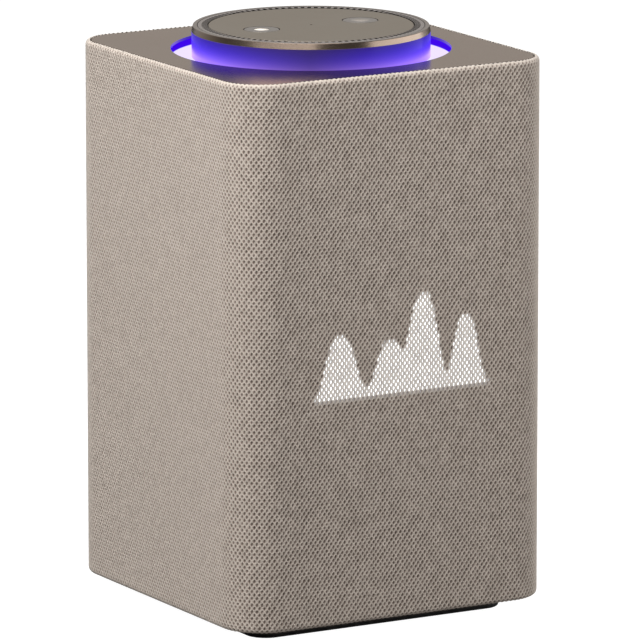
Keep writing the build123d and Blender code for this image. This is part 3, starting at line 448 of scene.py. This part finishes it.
def ring_metal():
    """Bronze round the top of the ring, over a dark skirt with the well's light painted on it.

    The painted light is deep blue, paler towards the well's floor, and dimmer along one line across, a
    painted shade."""
    paint = Paint("bronze_ring").set(Roughness=0.23, Specular_IOR_Level=0.1)
    low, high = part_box("volume_ring")
    band_low = high.z - RING_BAND
    x, y, height = paint.split(paint.place())
    on_band = paint.remap(height, band_low - BAND_EDGE, band_low + BAND_EDGE)
    rings = paint.noise(*BAND_RINGS, stretch=BAND_STRETCH)
    paint.colour(paint.mix(on_band, SKIRT_COLOUR, paint.mix(rings, RING_DARK, RING_COLOUR)))
    paint.feed("Metallic", on_band)
    # Painted shade along one line across the ring, and painted light that grows towards the skirt's foot
    across = paint.maths("MULTIPLY", x, math.sin(SKIRT_PAINTED_SHADE_ANGLE))
    along = paint.maths("MULTIPLY", y, -math.cos(SKIRT_PAINTED_SHADE_ANGLE))
    towards_painted_shade = paint.maths("DIVIDE", paint.maths("ADD", across, along), paint.radius())
    near_painted_shade = paint.maths("ABSOLUTE", towards_painted_shade)
    from_painted_shade = paint.maths("POWER", paint.maths("SUBTRACT", 1.0, near_painted_shade), SKIRT_PAINTED_SHADE_CURVE)
    down = paint.remap(height, band_low, low.z + SKIRT_FOOT)
    painted_edge_light = paint.remap(from_painted_shade, 0.0, 1.0, *SKIRT_PAINTED_EDGE_LIGHT)
    painted_fall_light = paint.remap(down, 0.0, 1.0, *SKIRT_PAINTED_FALL_LIGHT)
    power = paint.maths("MULTIPLY", painted_edge_light, painted_fall_light)
    power = paint.maths("MULTIPLY", power, paint.maths("SUBTRACT", 1.0, on_band))
    paint.glow(paint.mix(paint.maths("POWER", down, SKIRT_PAINTED_LIGHT_CURVE), SKIRT_PAINTED_LIGHT_DEEP, SKIRT_PAINTED_LIGHT_PALE), power)
    return paint.bump(rings, *BAND_BUMP).material


def satin_metal(name, colour, tint, roughness, metallic):
    """Fine-blasted satin metal with a slight fleck and painted shade on its upright faces, as a paint still
    open to additions.
    """
    paint = Paint(name).set(Metallic=metallic, Roughness=roughness, Specular_Tint=tint)
    fleck = paint.noise(*SATIN_FLECK)
    cloud = paint.noise(*SATIN_CLOUD)
    metal = paint.mix(paint.mean(fleck, cloud), shade(colour, 0.9), shade(colour, 1.12))
    # Painted shade on the upright faces
    paint.colour(paint.paint_wall_shade(metal))
    paint.roughness(paint.spread(cloud, *(roughness * share for share in SATIN_ROUGHNESS)))
    return paint.bump(fleck, *SATIN_BUMP)


def plate_metal():
    """Satin metal; the cut edge round the well glows with painted light in the blue of the light guide below
    it.
    """
    paint = satin_metal("satin_plate", PLATE_COLOUR, PLATE_TINT, 0.20, 1.0)
    beyond = paint.remap(paint.radius(), WELL_RADIUS + PLATE_EDGE_FROM, WELL_RADIUS + PLATE_EDGE_TO)
    on_edge = paint.maths("SUBTRACT", 1.0, beyond)
    return paint.glow(WELL_WALL, paint.maths("MULTIPLY", on_edge, PLATE_EDGE_PAINTED_LIGHT)).material


def rubber(name, colour, roughness=0.8):
    """Soft rubber with faint mould bloom."""
    paint = Paint(name).set(Roughness=roughness)
    bloom = paint.noise(*RUBBER_BLOOM)
    paint.colour(paint.mix(bloom, colour, shade(colour, 1.8, 0.01)))
    paint.roughness(paint.spread(bloom, *(roughness + offset for offset in RUBBER_SPREAD)))
    return paint.bump(paint.noise(*RUBBER_PITS), *RUBBER_BUMP).material


def circuit_board(name, normal_axis):
    """Solder mask over copper runs laid in two directions, with plated dots."""
    paint = Paint(name).set(Roughness=0.38)
    x, y, z = paint.split(paint.place())
    plane = [(y, z), (x, z), (x, y)][normal_axis]
    flat = paint.join(*plane)
    runs = paint.add("ShaderNodeTexBrick")
    runs.inputs["Scale"].default_value = BOARD_RUN_SCALE
    runs.inputs["Mortar Size"].default_value = BOARD_RUN_WIDTH
    paint.wire(flat, runs.inputs["Vector"])
    dots = paint.add("ShaderNodeTexVoronoi")
    dots.inputs["Scale"].default_value = BOARD_DOT_SCALE
    paint.wire(flat, dots.inputs["Vector"])
    dot = paint.maths("LESS_THAN", dots.outputs["Distance"], BOARD_DOT_RADIUS)
    mask = paint.mix(runs.outputs["Fac"], BOARD_DARK, BOARD_GREEN)
    paint.colour(paint.mix(dot, mask, BOARD_GOLD))
    return paint.bump(runs.outputs["Fac"], *BOARD_BUMP).material


def steel(name, colour=(0.55, 0.55, 0.56), roughness=0.3):
    """Plated steel with rolling marks and faint stains."""
    paint = Paint(name).set(Metallic=1.0, Roughness=roughness)
    stains = paint.noise(*STEEL_STAINS)
    paint.colour(paint.mix(stains, shade(colour, 0.75), colour))
    paint.roughness(paint.spread(stains, *(roughness + offset for offset in STEEL_SPREAD)))
    return paint.bump(paint.noise(*STEEL_LINES, stretch=STEEL_STRETCH), *STEEL_BUMP).material


def winding():
    """Enamelled copper wire wound close in one layer."""
    paint = Paint("coil_copper").set(Metallic=1.0, Roughness=0.28)
    turns = paint.add("ShaderNodeTexWave", wave_type="BANDS", bands_direction="Y")
    turns.inputs["Scale"].default_value = COIL_SCALE
    paint.wire(paint.place(), turns.inputs["Vector"])
    paint.colour(paint.mix(turns.outputs["Fac"], COPPER_DARK, COPPER_LIGHT))
    return paint.bump(turns.outputs["Fac"], *COIL_BUMP).material


def cone_paper():
    """Pressed paper pulp with short fibres under a thin coating."""
    paint = Paint("cone_fibre").set(Roughness=0.62)
    fibres = paint.noise(*PAPER_FIBRES)
    paint.colour(paint.mix(fibres, PAPER_DARK, PAPER_LIGHT))
    paint.roughness(paint.spread(fibres, *PAPER_ROUGHNESS))
    return paint.bump(fibres, *PAPER_BUMP).material


def glowing(name, colour, strength):
    """A lit translucent part with the faint unevenness of its lamps."""
    paint = Paint(name).set(Roughness=0.5).colour(LAMP_BODY)
    paint.glow(paint.mix(paint.noise(*LAMP_CLOUD), shade(colour, 0.93), colour), strength)
    return paint.bump(paint.noise(*LAMP_PITS), *LAMP_BUMP).material


def lit_lens():
    """A small lamp lens, brightest towards the lamp under its left side."""
    paint = Paint("lit_lens").set(Roughness=0.3)
    low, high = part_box("mute_lens")
    middle = (low + high) / 2
    reach = high.x - middle.x
    from_lamp = paint.radius((middle.x - LENS_LAMP_LEFT * reach, middle.y))
    paint.colour(paint.mix(paint.noise(*LENS_MOTTLE), LENS_DARK, LENS_LIGHT))
    near, far = (share * reach for share in LENS_FADE)
    return paint.glow(LENS_COLOUR, paint.remap(from_lamp, near, far, *LENS_POWER)).material


def light_guide():
    """The lit well: a near-white floor and a deep blue wall round it."""
    paint = Paint("light_guide").set(Roughness=0.8, Specular_IOR_Level=0.0).colour(WELL_BODY)
    floor_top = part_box("light_diffuser")[1].z - WELL_FLOOR_DEPTH
    height = paint.split(paint.place())[2]
    on_wall = paint.remap(height, floor_top, floor_top + WELL_FLOOR_CURVE)
    uneven = paint.spread(paint.noise(*WELL_CLOUD), *WELL_EVENNESS)
    lit = paint.mix(on_wall, paint.mix(uneven, WELL_FLOOR_DIM, WELL_FLOOR), WELL_WALL)
    return paint.glow(lit, paint.remap(on_wall, 0.0, 1.0, WELL_FLOOR_POWER, WELL_WALL_POWER)).material


# The cloth ---------------------------------------------------------------------------
def knit_yarn():
    """Matt mélange yarn: light and dark fibres, with a soft fuzz, painted shadow towards the eyelets' floors
    and painted display light near the display.
    """
    paint = Paint("knit_yarn").set(Roughness=0.95, Specular_IOR_Level=0.15)
    paint.set(Sheen_Weight=0.15, Sheen_Roughness=0.6)
    fibres = paint.noise(*YARN_FIBRES, stretch=YARN_STRETCH)
    base = paint.mix(paint.spread(fibres), YARN_DARK, YARN_LIGHT)
    stitches = paint.remap(paint.noise(*YARN_STITCHES), *STITCH_SPAN)
    share = paint.remap(paint.noise(*YARN_CLOUD), 0.0, 1.0, *YARN_STITCH_SHARE)
    yarn = paint.mix(share, base, paint.mix(stitches, YARN_DEEP, YARN_PALE))
    paint.colour(paint.mix(paint.remap(paint.mark("depth"), YARN_SHADOW_FROM, 1.0), yarn, YARN_SHADOW))
    # Painted display light on the yarn round the display
    paint.glow(DISPLAY_COLOUR, paint.maths("MULTIPLY", paint.mark("glow"), YARN_PAINTED_LIGHT_POWER))
    return paint.bump(fibres, *YARN_BUMP).material


def knit_gap():
    """The sheet closing each eyelet: the dark frame behind the cloth in painted shade, with painted display
    light where the display shines.
    """
    paint = Paint("knit_gap").set(Roughness=0.9)
    paint.colour(paint.mix(paint.noise(*FRAME_MOTTLE), EYELET_SHADE_DARK, EYELET_SHADE_LIGHT))
    return paint.glow(DISPLAY_COLOUR, paint.maths("MULTIPLY", paint.mark("glow"), EYELET_PAINTED_LIGHT_POWER)).material


def outline(distances):
    """Points (x, y) and normals on the rounded square, for an array of distances."""
    flat = 2 * (HALF - CORNER)
    turn = math.pi / 2 * CORNER
    side = CLOTH_ROUND / 4
    turns = np.floor(distances / side)
    rest = distances - side * turns
    number = turns.astype(int) % 4
    first = np.clip(rest, 0, turn / 2)
    second = np.clip(rest - turn / 2 - flat, 0, turn / 2)
    run = np.clip(rest - turn / 2, 0, flat)
    angle = -math.pi / 4 + (first + second) / CORNER
    reach = HALF - CORNER
    forward = -reach + run + CORNER * np.sin(angle)
    outward = reach + CORNER * np.cos(angle)
    spin = math.pi + number * math.pi / 2
    turned_x = outward * np.cos(spin) - forward * np.sin(spin)
    turned_y = outward * np.sin(spin) + forward * np.cos(spin)
    normal_x = np.cos(angle + spin)
    normal_y = np.sin(angle + spin)
    return turned_x, turned_y, normal_x, normal_y


def profile(lengths):
    """Inset and height, and how far the normal points out and up, along the cloth's height."""
    low, high = CLOTH_LOW.z, CLOTH_HIGH.z
    arc = math.pi / 2 * ROLL
    straight = high - low - 2 * ROLL
    lip_low = np.clip(lengths, None, LIP)
    bend_low = np.clip(lengths - LIP, 0, arc) / ROLL
    wall = np.clip(lengths - LIP - arc, 0, straight)
    bend_high = np.clip(lengths - LIP - arc - straight, 0, arc) / ROLL
    lip_high = np.clip(lengths - LIP - 2 * arc - straight, 0, None)
    lean = -math.pi / 2 + bend_low + bend_high
    inset = ROLL - ROLL * np.cos(lean)
    height = low + ROLL + wall + ROLL * np.sin(lean)
    height = height + np.where(lengths < LIP, LIP - lip_low, 0) - lip_high
    return inset, height, np.cos(lean), np.sin(lean)


def laid(across, up, depth):
    """Places cloth points given along its outline, up its height and by depth below its face."""
    x, y, normal_x, normal_y = outline(across)
    inset, height, out, rise = profile(up)
    back = inset + depth * out
    return np.stack([x - normal_x * back, y - normal_y * back, height - depth * rise], axis=1)


def graph_top(x):
    """The height of the display's graph at places along the front."""
    total = np.zeros_like(x)
    for centre, height, left, right in PEAKS:
        offset = x / MM - centre
        width = np.where(offset < 0, left, right)
        total += (height * np.exp(-np.abs(offset / width) ** PEAK_SHARPNESS)) ** 2
    return DISPLAY_Z + np.sqrt(total) * MM


def graph_glow(points, edge):
    """How brightly the display shines at points of the cloth, from 0 to 1."""
    x, y, z = points.T
    low, high = DISPLAY_ENDS
    inside = np.minimum.reduce([graph_top(x) - z, z - DISPLAY_Z, x - low, high - x])
    return np.clip(inside / edge + 0.5, 0, 1) * (y < -HALF + DISPLAY_REACH_BACK)


def in_panel_cut(across_points):
    """True where the cloth is cut away for the rear connectors."""
    low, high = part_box("connector_panel")
    x, y, z = across_points.T
    wide = (x > low.x) & (x < high.x)
    return wide & (z > low.z) & (z < high.z) & (y > 0)


def eyelet_centres():
    """Where the eyelets lie round and up the cloth, row by row, and which side each is on."""
    rows, columns = np.meshgrid(np.arange(2 * EYELET_ROWS - 1), np.arange(EYELETS_ROUND), indexing="ij")
    across = (columns + 0.5 * (rows % 2)) * EYELET_PITCH
    up = (rows + 1) * EYELET_HEIGHT / 2
    sides = columns * len(SIDES) // EYELETS_ROUND
    return across.ravel(), up.ravel(), sides.ravel()


class Net:
    """The cloth as one net of eyelets, whose yarn slopes into each opening."""

    def __init__(self):
        self.across, self.up, self.depth = [], [], []
        self.faces = [[] for _ in SIDES]
        # The eyelet floors that carry the display's painted light, with their brightness
        self.lamps = []
        self.shared = {}

    def point(self, across, up, depth):
        self.across.append(across)
        self.up.append(up)
        self.depth.append(depth)
        return len(self.across) - 1

    def ridge_point(self, across, up):
        """A point of the yarn's ridge, shared by the eyelets that meet there."""
        key = (round(2 * across / EYELET_PITCH) % (2 * EYELETS_ROUND), round(up / RIDGE_STEP))
        if key not in self.shared:
            self.shared[key] = self.point(across, up, 0.0)
        return self.shared[key]

    def eyelet(self, side, across, up, stretch, depth, glow):
        """Adds an eyelet: six sloping faces of yarn, then the opening they leave."""
        wide, tall = stretch
        outer = [self.ridge_point(across + a, up + b) for a, b in RIDGE]
        inner = [self.point(across + a * wide + b * EYELET_SLANT, up + b * tall, depth) for a, b in OPENING]
        for i in range(len(outer)):
            j = (i + 1) % len(outer)
            self.faces[side].append((outer[i], outer[j], inner[j], inner[i]))
        self.faces[side].append(tuple(inner))
        self.lamps.append((inner[0], glow))


def hexagon(mid, shoulder, point):
    return [(0, point), (-mid, shoulder), (-mid, -shoulder), (0, -point), (mid, -shoulder), (mid, shoulder)]


RIDGE = hexagon(EYELET_PITCH / 2, RIDGE_SHOULDER, RIDGE_POINT)
OPENING = hexagon(OPENING_MID, OPENING_SHOULDER, OPENING_POINT)


def knit_net():
    """The whole net, with its eyelets drawn unevenly and closing where the cloth rolls over."""
    across, up, sides = eyelet_centres()
    places = laid(across, up, np.zeros_like(up))
    glow = graph_glow(places, SOFT_EDGE)
    slubs = np.mean([np.sin(a * across + b * up + c) for a, b, c in YARN_SLUBS], axis=0)
    chance = shuffle.normal(0, 1, (3, len(up)))
    open_share = 1 - ROLL_CLOSING * (1 - profile(up)[2])
    wide = open_share * (1 + WIDTH_CHANCE * chance[0] + WIDTH_SLUB * slubs)
    tall = open_share * (1 + HEIGHT_CHANCE * chance[1] + HEIGHT_SLUB * slubs)
    deep = open_share * (1 + DEPTH_CHANCE * chance[2]) * EYELET_DEPTH
    net = Net()
    for i in np.flatnonzero(~in_panel_cut(places)):
        net.eyelet(sides[i], across[i], up[i], (wide[i], tall[i]), deep[i], glow[i])
    return net


def smooth_normals(shape, faces):
    """The normals of a mesh at its points, over all its faces."""
    mesh = bpy.data.meshes.new("whole_cloth")
    mesh.from_pydata(shape.tolist(), [], faces)
    normals = np.zeros(3 * len(shape))
    mesh.vertex_normals.foreach_get("vector", normals)
    bpy.data.meshes.remove(mesh)
    return normals.reshape(-1, 3)


def knit_side(name, faces, shape, normals, marks):
    """One side of the net as its own piece; its normals run on into the next side's."""
    used = np.unique(np.concatenate([np.array(face) for face in faces]))
    number = {int(point): i for i, point in enumerate(used)}
    mesh = bpy.data.meshes.new(name)
    mesh.from_pydata(shape[used].tolist(), [], [[number[int(point)] for point in face] for face in faces])
    mesh.materials.append(bpy.data.materials["knit_yarn"])
    mesh.materials.append(bpy.data.materials["knit_gap"])
    mesh.polygons.foreach_set("material_index", [int(len(face) == len(OPENING)) for face in faces])
    mesh.polygons.foreach_set("use_smooth", [True] * len(faces))
    for mark, values in marks.items():
        attribute = mesh.attributes.new(mark, "FLOAT", "POINT")
        attribute.data.foreach_set("value", values[used].astype(np.float32))
    mesh.update()
    mesh.normals_split_custom_set_from_vertices(normals[used].tolist())
    return put(name, mesh)


def dress_in_cloth():
    net = knit_net()
    across, up, depth = (np.array(values) for values in (net.across, net.up, net.depth))
    shape = laid(across, np.clip(up, 0, CLOTH_LENGTH), depth)
    # The display's painted light: a soft halo on the yarn, and full strength on the eyelet floors
    glow = graph_glow(shape, HALO)
    for first, level in net.lamps:
        glow[first:first + len(OPENING)] = level
    marks = {"glow": glow, "depth": depth / EYELET_DEPTH}
    normals = smooth_normals(shape, sum(net.faces, []))
    for side, faces in zip(SIDES, net.faces):
        cloth = knit_side("knit_" + side, faces, shape, normals, marks)
        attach(cloth, "enclosure")
        if side == "front":
            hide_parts("fabric_sleeve")


def port_hem():
    """The bound edge of the cloth round the connector recess."""
    low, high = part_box("connector_panel")
    left, right = low.x - HEM_REACH, high.x + HEM_REACH
    bottom, top = low.z - HEM_REACH, high.z + HEM_REACH
    curve = bpy.data.curves.new("port_hem", "CURVE")
    curve.dimensions = "3D"
    curve.bevel_depth = HEM_RADIUS
    curve.bevel_resolution = 4
    line = curve.splines.new("POLY")
    points = []
    for number, (x, z) in enumerate([(left, bottom), (right, bottom), (right, top), (left, top)]):
        centre_x = x + (HEM_CORNER if x == left else -HEM_CORNER)
        centre_z = z + (HEM_CORNER if z == bottom else -HEM_CORNER)
        for step in range(HEM_STEPS + 1):
            angle = math.pi * (1 + number / 2) + math.pi / 2 * step / HEM_STEPS
            points.append((centre_x + HEM_CORNER * math.cos(angle), centre_z + HEM_CORNER * math.sin(angle)))
    line.points.add(len(points) - 1)
    for spot, (x, z) in zip(line.points, points):
        spot.co = (x, HALF - HEM_RADIUS, z, 1)
    line.use_cyclic_u = True
    curve.materials.append(bpy.data.materials["knit_yarn"])
    hem = put("port_hem", curve)
    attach(hem, "enclosure")


# The button springs -------------------------------------------------------------------
def coil_line(low, high):
    """Points along a compression spring with closed ends, and the way out from its axis at each."""
    middle = (low + high) / 2
    reach = (high.x - low.x) / 2 - SPRING_WIRE
    turns = np.linspace(0, SPRING_TURNS, round(SPRING_TURNS * SPRING_STEPS) + 1)
    coil = SPRING_CLOSED * SPRING_WIRE
    bottom, top = low.z + SPRING_WIRE, high.z - SPRING_WIRE
    ends = (bottom, bottom + coil, top - coil, top)
    height = np.interp(turns, (0, 1, SPRING_TURNS - 1, SPRING_TURNS), ends)
    angles = 2 * math.pi * turns
    out = np.stack([np.cos(angles), np.sin(angles), np.zeros_like(angles)], axis=1)
    axis = np.stack([np.full_like(height, middle.x), np.full_like(height, middle.y), height], axis=1)
    return axis + out * reach, out


def button_spring(node):
    """A compression spring under its button, in place of its CAD part."""
    low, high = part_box(node)
    line, out = coil_line(low, high)
    angles = 2 * math.pi * np.arange(SPRING_SIDES) / SPRING_SIDES
    rise = np.array([0.0, 0.0, 1.0])
    rings = [line + SPRING_WIRE * (math.cos(a) * out + math.sin(a) * rise) for a in angles]
    points = np.stack(rings, axis=1).reshape(-1, 3)
    last = len(points) - 1
    faces = [tuple(range(SPRING_SIDES)), tuple(range(last, last - SPRING_SIDES, -1))]
    for first in range(0, len(points) - SPRING_SIDES, SPRING_SIDES):
        for i in range(SPRING_SIDES):
            j = (i + 1) % SPRING_SIDES
            faces.append((first + j, first + i, first + SPRING_SIDES + i, first + SPRING_SIDES + j))
    mesh = bpy.data.meshes.new(node + "_coil")
    mesh.from_pydata(points.tolist(), [], faces)
    mesh.polygons.foreach_set("use_smooth", [len(face) == 4 for face in faces])
    mesh.materials.append(bpy.data.materials["spring_steel"])
    mesh.update()
    spring = put(node + "_coil", mesh)
    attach(spring, "enclosure")
    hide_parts(node)
    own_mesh(spring)


# Materials of the CAD nodes -----------------------------------------------------------
def node_materials():
    black = moulded_plastic("black_plastic", (0.018, 0.018, 0.019))
    brown = moulded_plastic("brown_plastic", (0.075, 0.055, 0.045), 0.42)
    acetal = moulded_plastic("bearing_plastic", (0.72, 0.70, 0.64), 0.4, 0.1)
    chassis = moulded_plastic("chassis_coat", (0.03, 0.03, 0.032), 0.4, 0.4)
    chips = moulded_plastic("chip_epoxy", (0.022, 0.022, 0.024), 0.5, 0.4)
    button_low, button_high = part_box("action_button")
    button_x = (button_low.x + button_high.x) / 2
    mask_flat = circuit_board("circuit_flat", 2)
    mask_upright = circuit_board("circuit_upright", 1)
    steel_plain = steel("screw_steel")
    springs = steel("spring_steel", (0.6, 0.6, 0.62), 0.22)
    surround = rubber("surround_rubber", (0.012, 0.012, 0.012), 0.6)
    paper = cone_paper()
    return {
        "foot_pad": rubber("foot_rubber", (0.010, 0.010, 0.010), 0.75),
        "base_plate": brown,
        "base_screws": steel_plain, "lid_screws": steel_plain, "small_screws": steel_plain,
        "cabinet_shell": black, "cabinet_lid": black, "grille_frame": black, "well_housing": black,
        "dial_hub": black, "retainer_ring": black, "dial_carrier": black, "connector_panel": black,
        "passive_frames": black,
        "cabinet_gasket": rubber("gasket_foam", (0.03, 0.03, 0.032), 0.95),
        "fabric_sleeve": bpy.data.materials["knit_yarn"],
        "top_plate": plate_metal(),
        "light_diffuser": light_guide(),
        "ring_led_board": mask_flat, "control_board": mask_flat,
        "ring_leds": glowing("ring_lamp", (0.35, 0.18, 1.0), 1.5),
        "thrust_washer": acetal, "glide_ring": acetal, "encoder_pinion": acetal,
        "volume_ring": ring_metal(),
        "trim_ring": turned_metal("trim_metal", TRIM_COLOUR, 0.28),
        "centre_cap": satin_metal("cap_metal", CAP_COLOUR, CAP_TINT, 0.34, 0.9).material,
        "mute_button": turned_metal("mute_metal", BUTTON_COLOUR, 0.30, (-button_x, 0.0)),
        "action_button": turned_metal("action_metal", BUTTON_COLOUR, 0.30, (button_x, 0.0), DISH_RADIUS),
        "mute_lens": lit_lens(),
        "tact_switches": chips, "board_chips": chips, "encoder_body": chips,
        "microphones": steel("microphone_can", (0.65, 0.62, 0.55), 0.35),
        "mute_spring": springs, "action_spring": springs,
        "display_board": mask_upright, "main_board": mask_upright,
        "display_leds": glowing("led_white", (1.0, 0.95, 0.82), 0.6),
        "display_diffuser": moulded_plastic("diffuser_film", (0.8, 0.8, 0.82), 0.5, 0.1),
        "heat_sink": steel("sink_aluminium", (0.62, 0.62, 0.64), 0.36),
        "power_socket": moulded_plastic("socket_black", (0.012, 0.012, 0.012), 0.3, 0.1),
        "service_port": steel("port_steel", (0.66, 0.66, 0.68), 0.25),
        "woofer_basket": chassis, "mid_baskets": chassis, "tweeter_frames": chassis,
        "woofer_magnet": steel("magnet_steel", (0.22, 0.22, 0.23), 0.5),
        "upper_magnets": steel("magnet_steel_small", (0.22, 0.22, 0.23), 0.5),
        "woofer_surround": surround, "mid_surrounds": surround, "passive_surrounds": surround,
        "woofer_cone": paper, "woofer_dust_cap": paper, "mid_cone_left": paper, "mid_cone_right": paper,
        "passive_diaphragm_left": paper, "passive_diaphragm_right": paper,
        "tweeter_dome_left": paper, "tweeter_dome_right": paper,
        "woofer_voice_coil": winding(),
    }


def paint_nodes():
    for name, material in node_materials().items():
        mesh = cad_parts[name].data
        mesh.materials.clear()
        mesh.materials.append(material)


# Stage, light and camera ---------------------------------------------------------------
def towards(azimuth, elevation):
    """The way from the speaker to a place seen at these angles from its front and from level."""
    level = math.cos(elevation)
    return Vector((math.sin(azimuth) * level, -math.cos(azimuth) * level, math.sin(elevation)))


def view_axes():
    """The camera's right, up and back."""
    right = Vector((math.cos(AZIMUTH), math.sin(AZIMUTH), 0))
    back = towards(AZIMUTH, ELEVATION)
    return right, back.cross(right), back


def add_camera():
    right, up, back = view_axes()
    middle = Vector((0, 0, cad_low[2] + (cad_high[2] - cad_low[2]) * TARGET_HEIGHT))
    data = bpy.data.cameras.new("camera")
    data.lens = LENS
    data.sensor_width = SENSOR
    data.clip_end = CAMERA_CLIP
    camera = put("camera", data)
    turn = Matrix((right, up, back)).transposed().to_4x4()
    place = middle + right * AIM_RIGHT + up * AIM_UP + back * DISTANCE
    camera.matrix_world = Matrix.Translation(place) @ turn
    bpy.context.scene.camera = camera


def add_softbox(name, azimuth, elevation, distance, size, power):
    """An area light aimed at the speaker; its angles are in degrees."""
    data = bpy.data.lights.new(name, "AREA")
    data.shape = "RECTANGLE"
    data.size, data.size_y = size
    data.energy = power
    way = towards(math.radians(azimuth), math.radians(elevation))
    light = put(name, data)
    light.location = Vector((0, 0, LIGHT_AIM_HEIGHT)) + way * distance
    light.rotation_euler = way.to_track_quat("Z", "Y").to_euler()


def add_world():
    """White all round for the camera; for light, bright behind the speaker and dim before it."""
    world = bpy.data.worlds.new("studio")
    bpy.context.scene.world = world
    world.use_nodes = True
    tree = world.node_tree
    tree.nodes.clear()
    wire = tree.links.new
    output = tree.nodes.new("ShaderNodeOutputWorld")
    seen = tree.nodes.new("ShaderNodeBackground")
    seen.inputs["Color"].default_value = (1, 1, 1, 1)
    seen.inputs["Strength"].default_value = WORLD_SEEN
    lights = tree.nodes.new("ShaderNodeBackground")
    lights.inputs["Color"].default_value = WORLD_COLOUR
    where = tree.nodes.new("ShaderNodeTexCoord")
    rearward = tree.nodes.new("ShaderNodeVectorMath")
    rearward.operation = "DOT_PRODUCT"
    rearward.inputs[1].default_value = (-math.sin(AZIMUTH), math.cos(AZIMUTH), 0)
    wire(where.outputs["Generated"], rearward.inputs[0])
    behind = tree.nodes.new("ShaderNodeMapRange")
    behind.interpolation_type = "SMOOTHSTEP"
    keys = ("From Min", "From Max", "To Min", "To Max")
    for key, value in zip(keys, (*WORLD_TURN, WORLD_FRONT, WORLD_BACK)):
        behind.inputs[key].default_value = value
    wire(rearward.outputs["Value"], behind.inputs["Value"])
    wire(behind.outputs["Result"], lights.inputs["Strength"])
    path = tree.nodes.new("ShaderNodeLightPath")
    mix = tree.nodes.new("ShaderNodeMixShader")
    wire(path.outputs["Is Camera Ray"], mix.inputs[0])
    wire(lights.outputs[0], mix.inputs[1])
    wire(seen.outputs[0], mix.inputs[2])
    wire(mix.outputs[0], output.inputs[0])


def add_floor():
    """A plain pale floor, white to the camera, that throws light back as a matt board would."""
    paint = Paint("pale_floor").set(Roughness=FLOOR_ROUGHNESS, Specular_IOR_Level=0.0).colour(FLOOR_COLOUR)
    paint.glow((1, 1, 1), paint.add("ShaderNodeLightPath").outputs["Is Camera Ray"])
    level = cad_low[2] - FLOOR_GAP
    square = ((-1, -1), (1, -1), (1, 1), (-1, 1))
    corners = [(x * FLOOR_REACH, y * FLOOR_REACH, level) for x, y in square]
    mesh = bpy.data.meshes.new("floor")
    mesh.from_pydata(corners, [], [(0, 1, 2, 3)])
    mesh.materials.append(paint.material)
    floor = put("floor", mesh)


def light_studio():
    add_world()
    for name, (azimuth, elevation, distance, size, power) in SOFTBOXES.items():
        add_softbox(name, azimuth, elevation, distance, size, power)


def main():
    add_camera()
    knit_yarn()
    knit_gap()
    paint_nodes()
    dress_in_cloth()
    port_hem()
    button_spring("mute_spring")
    button_spring("action_spring")
    add_floor()
    light_studio()
    view = bpy.context.scene.view_settings
    view.view_transform = "Standard"


main()
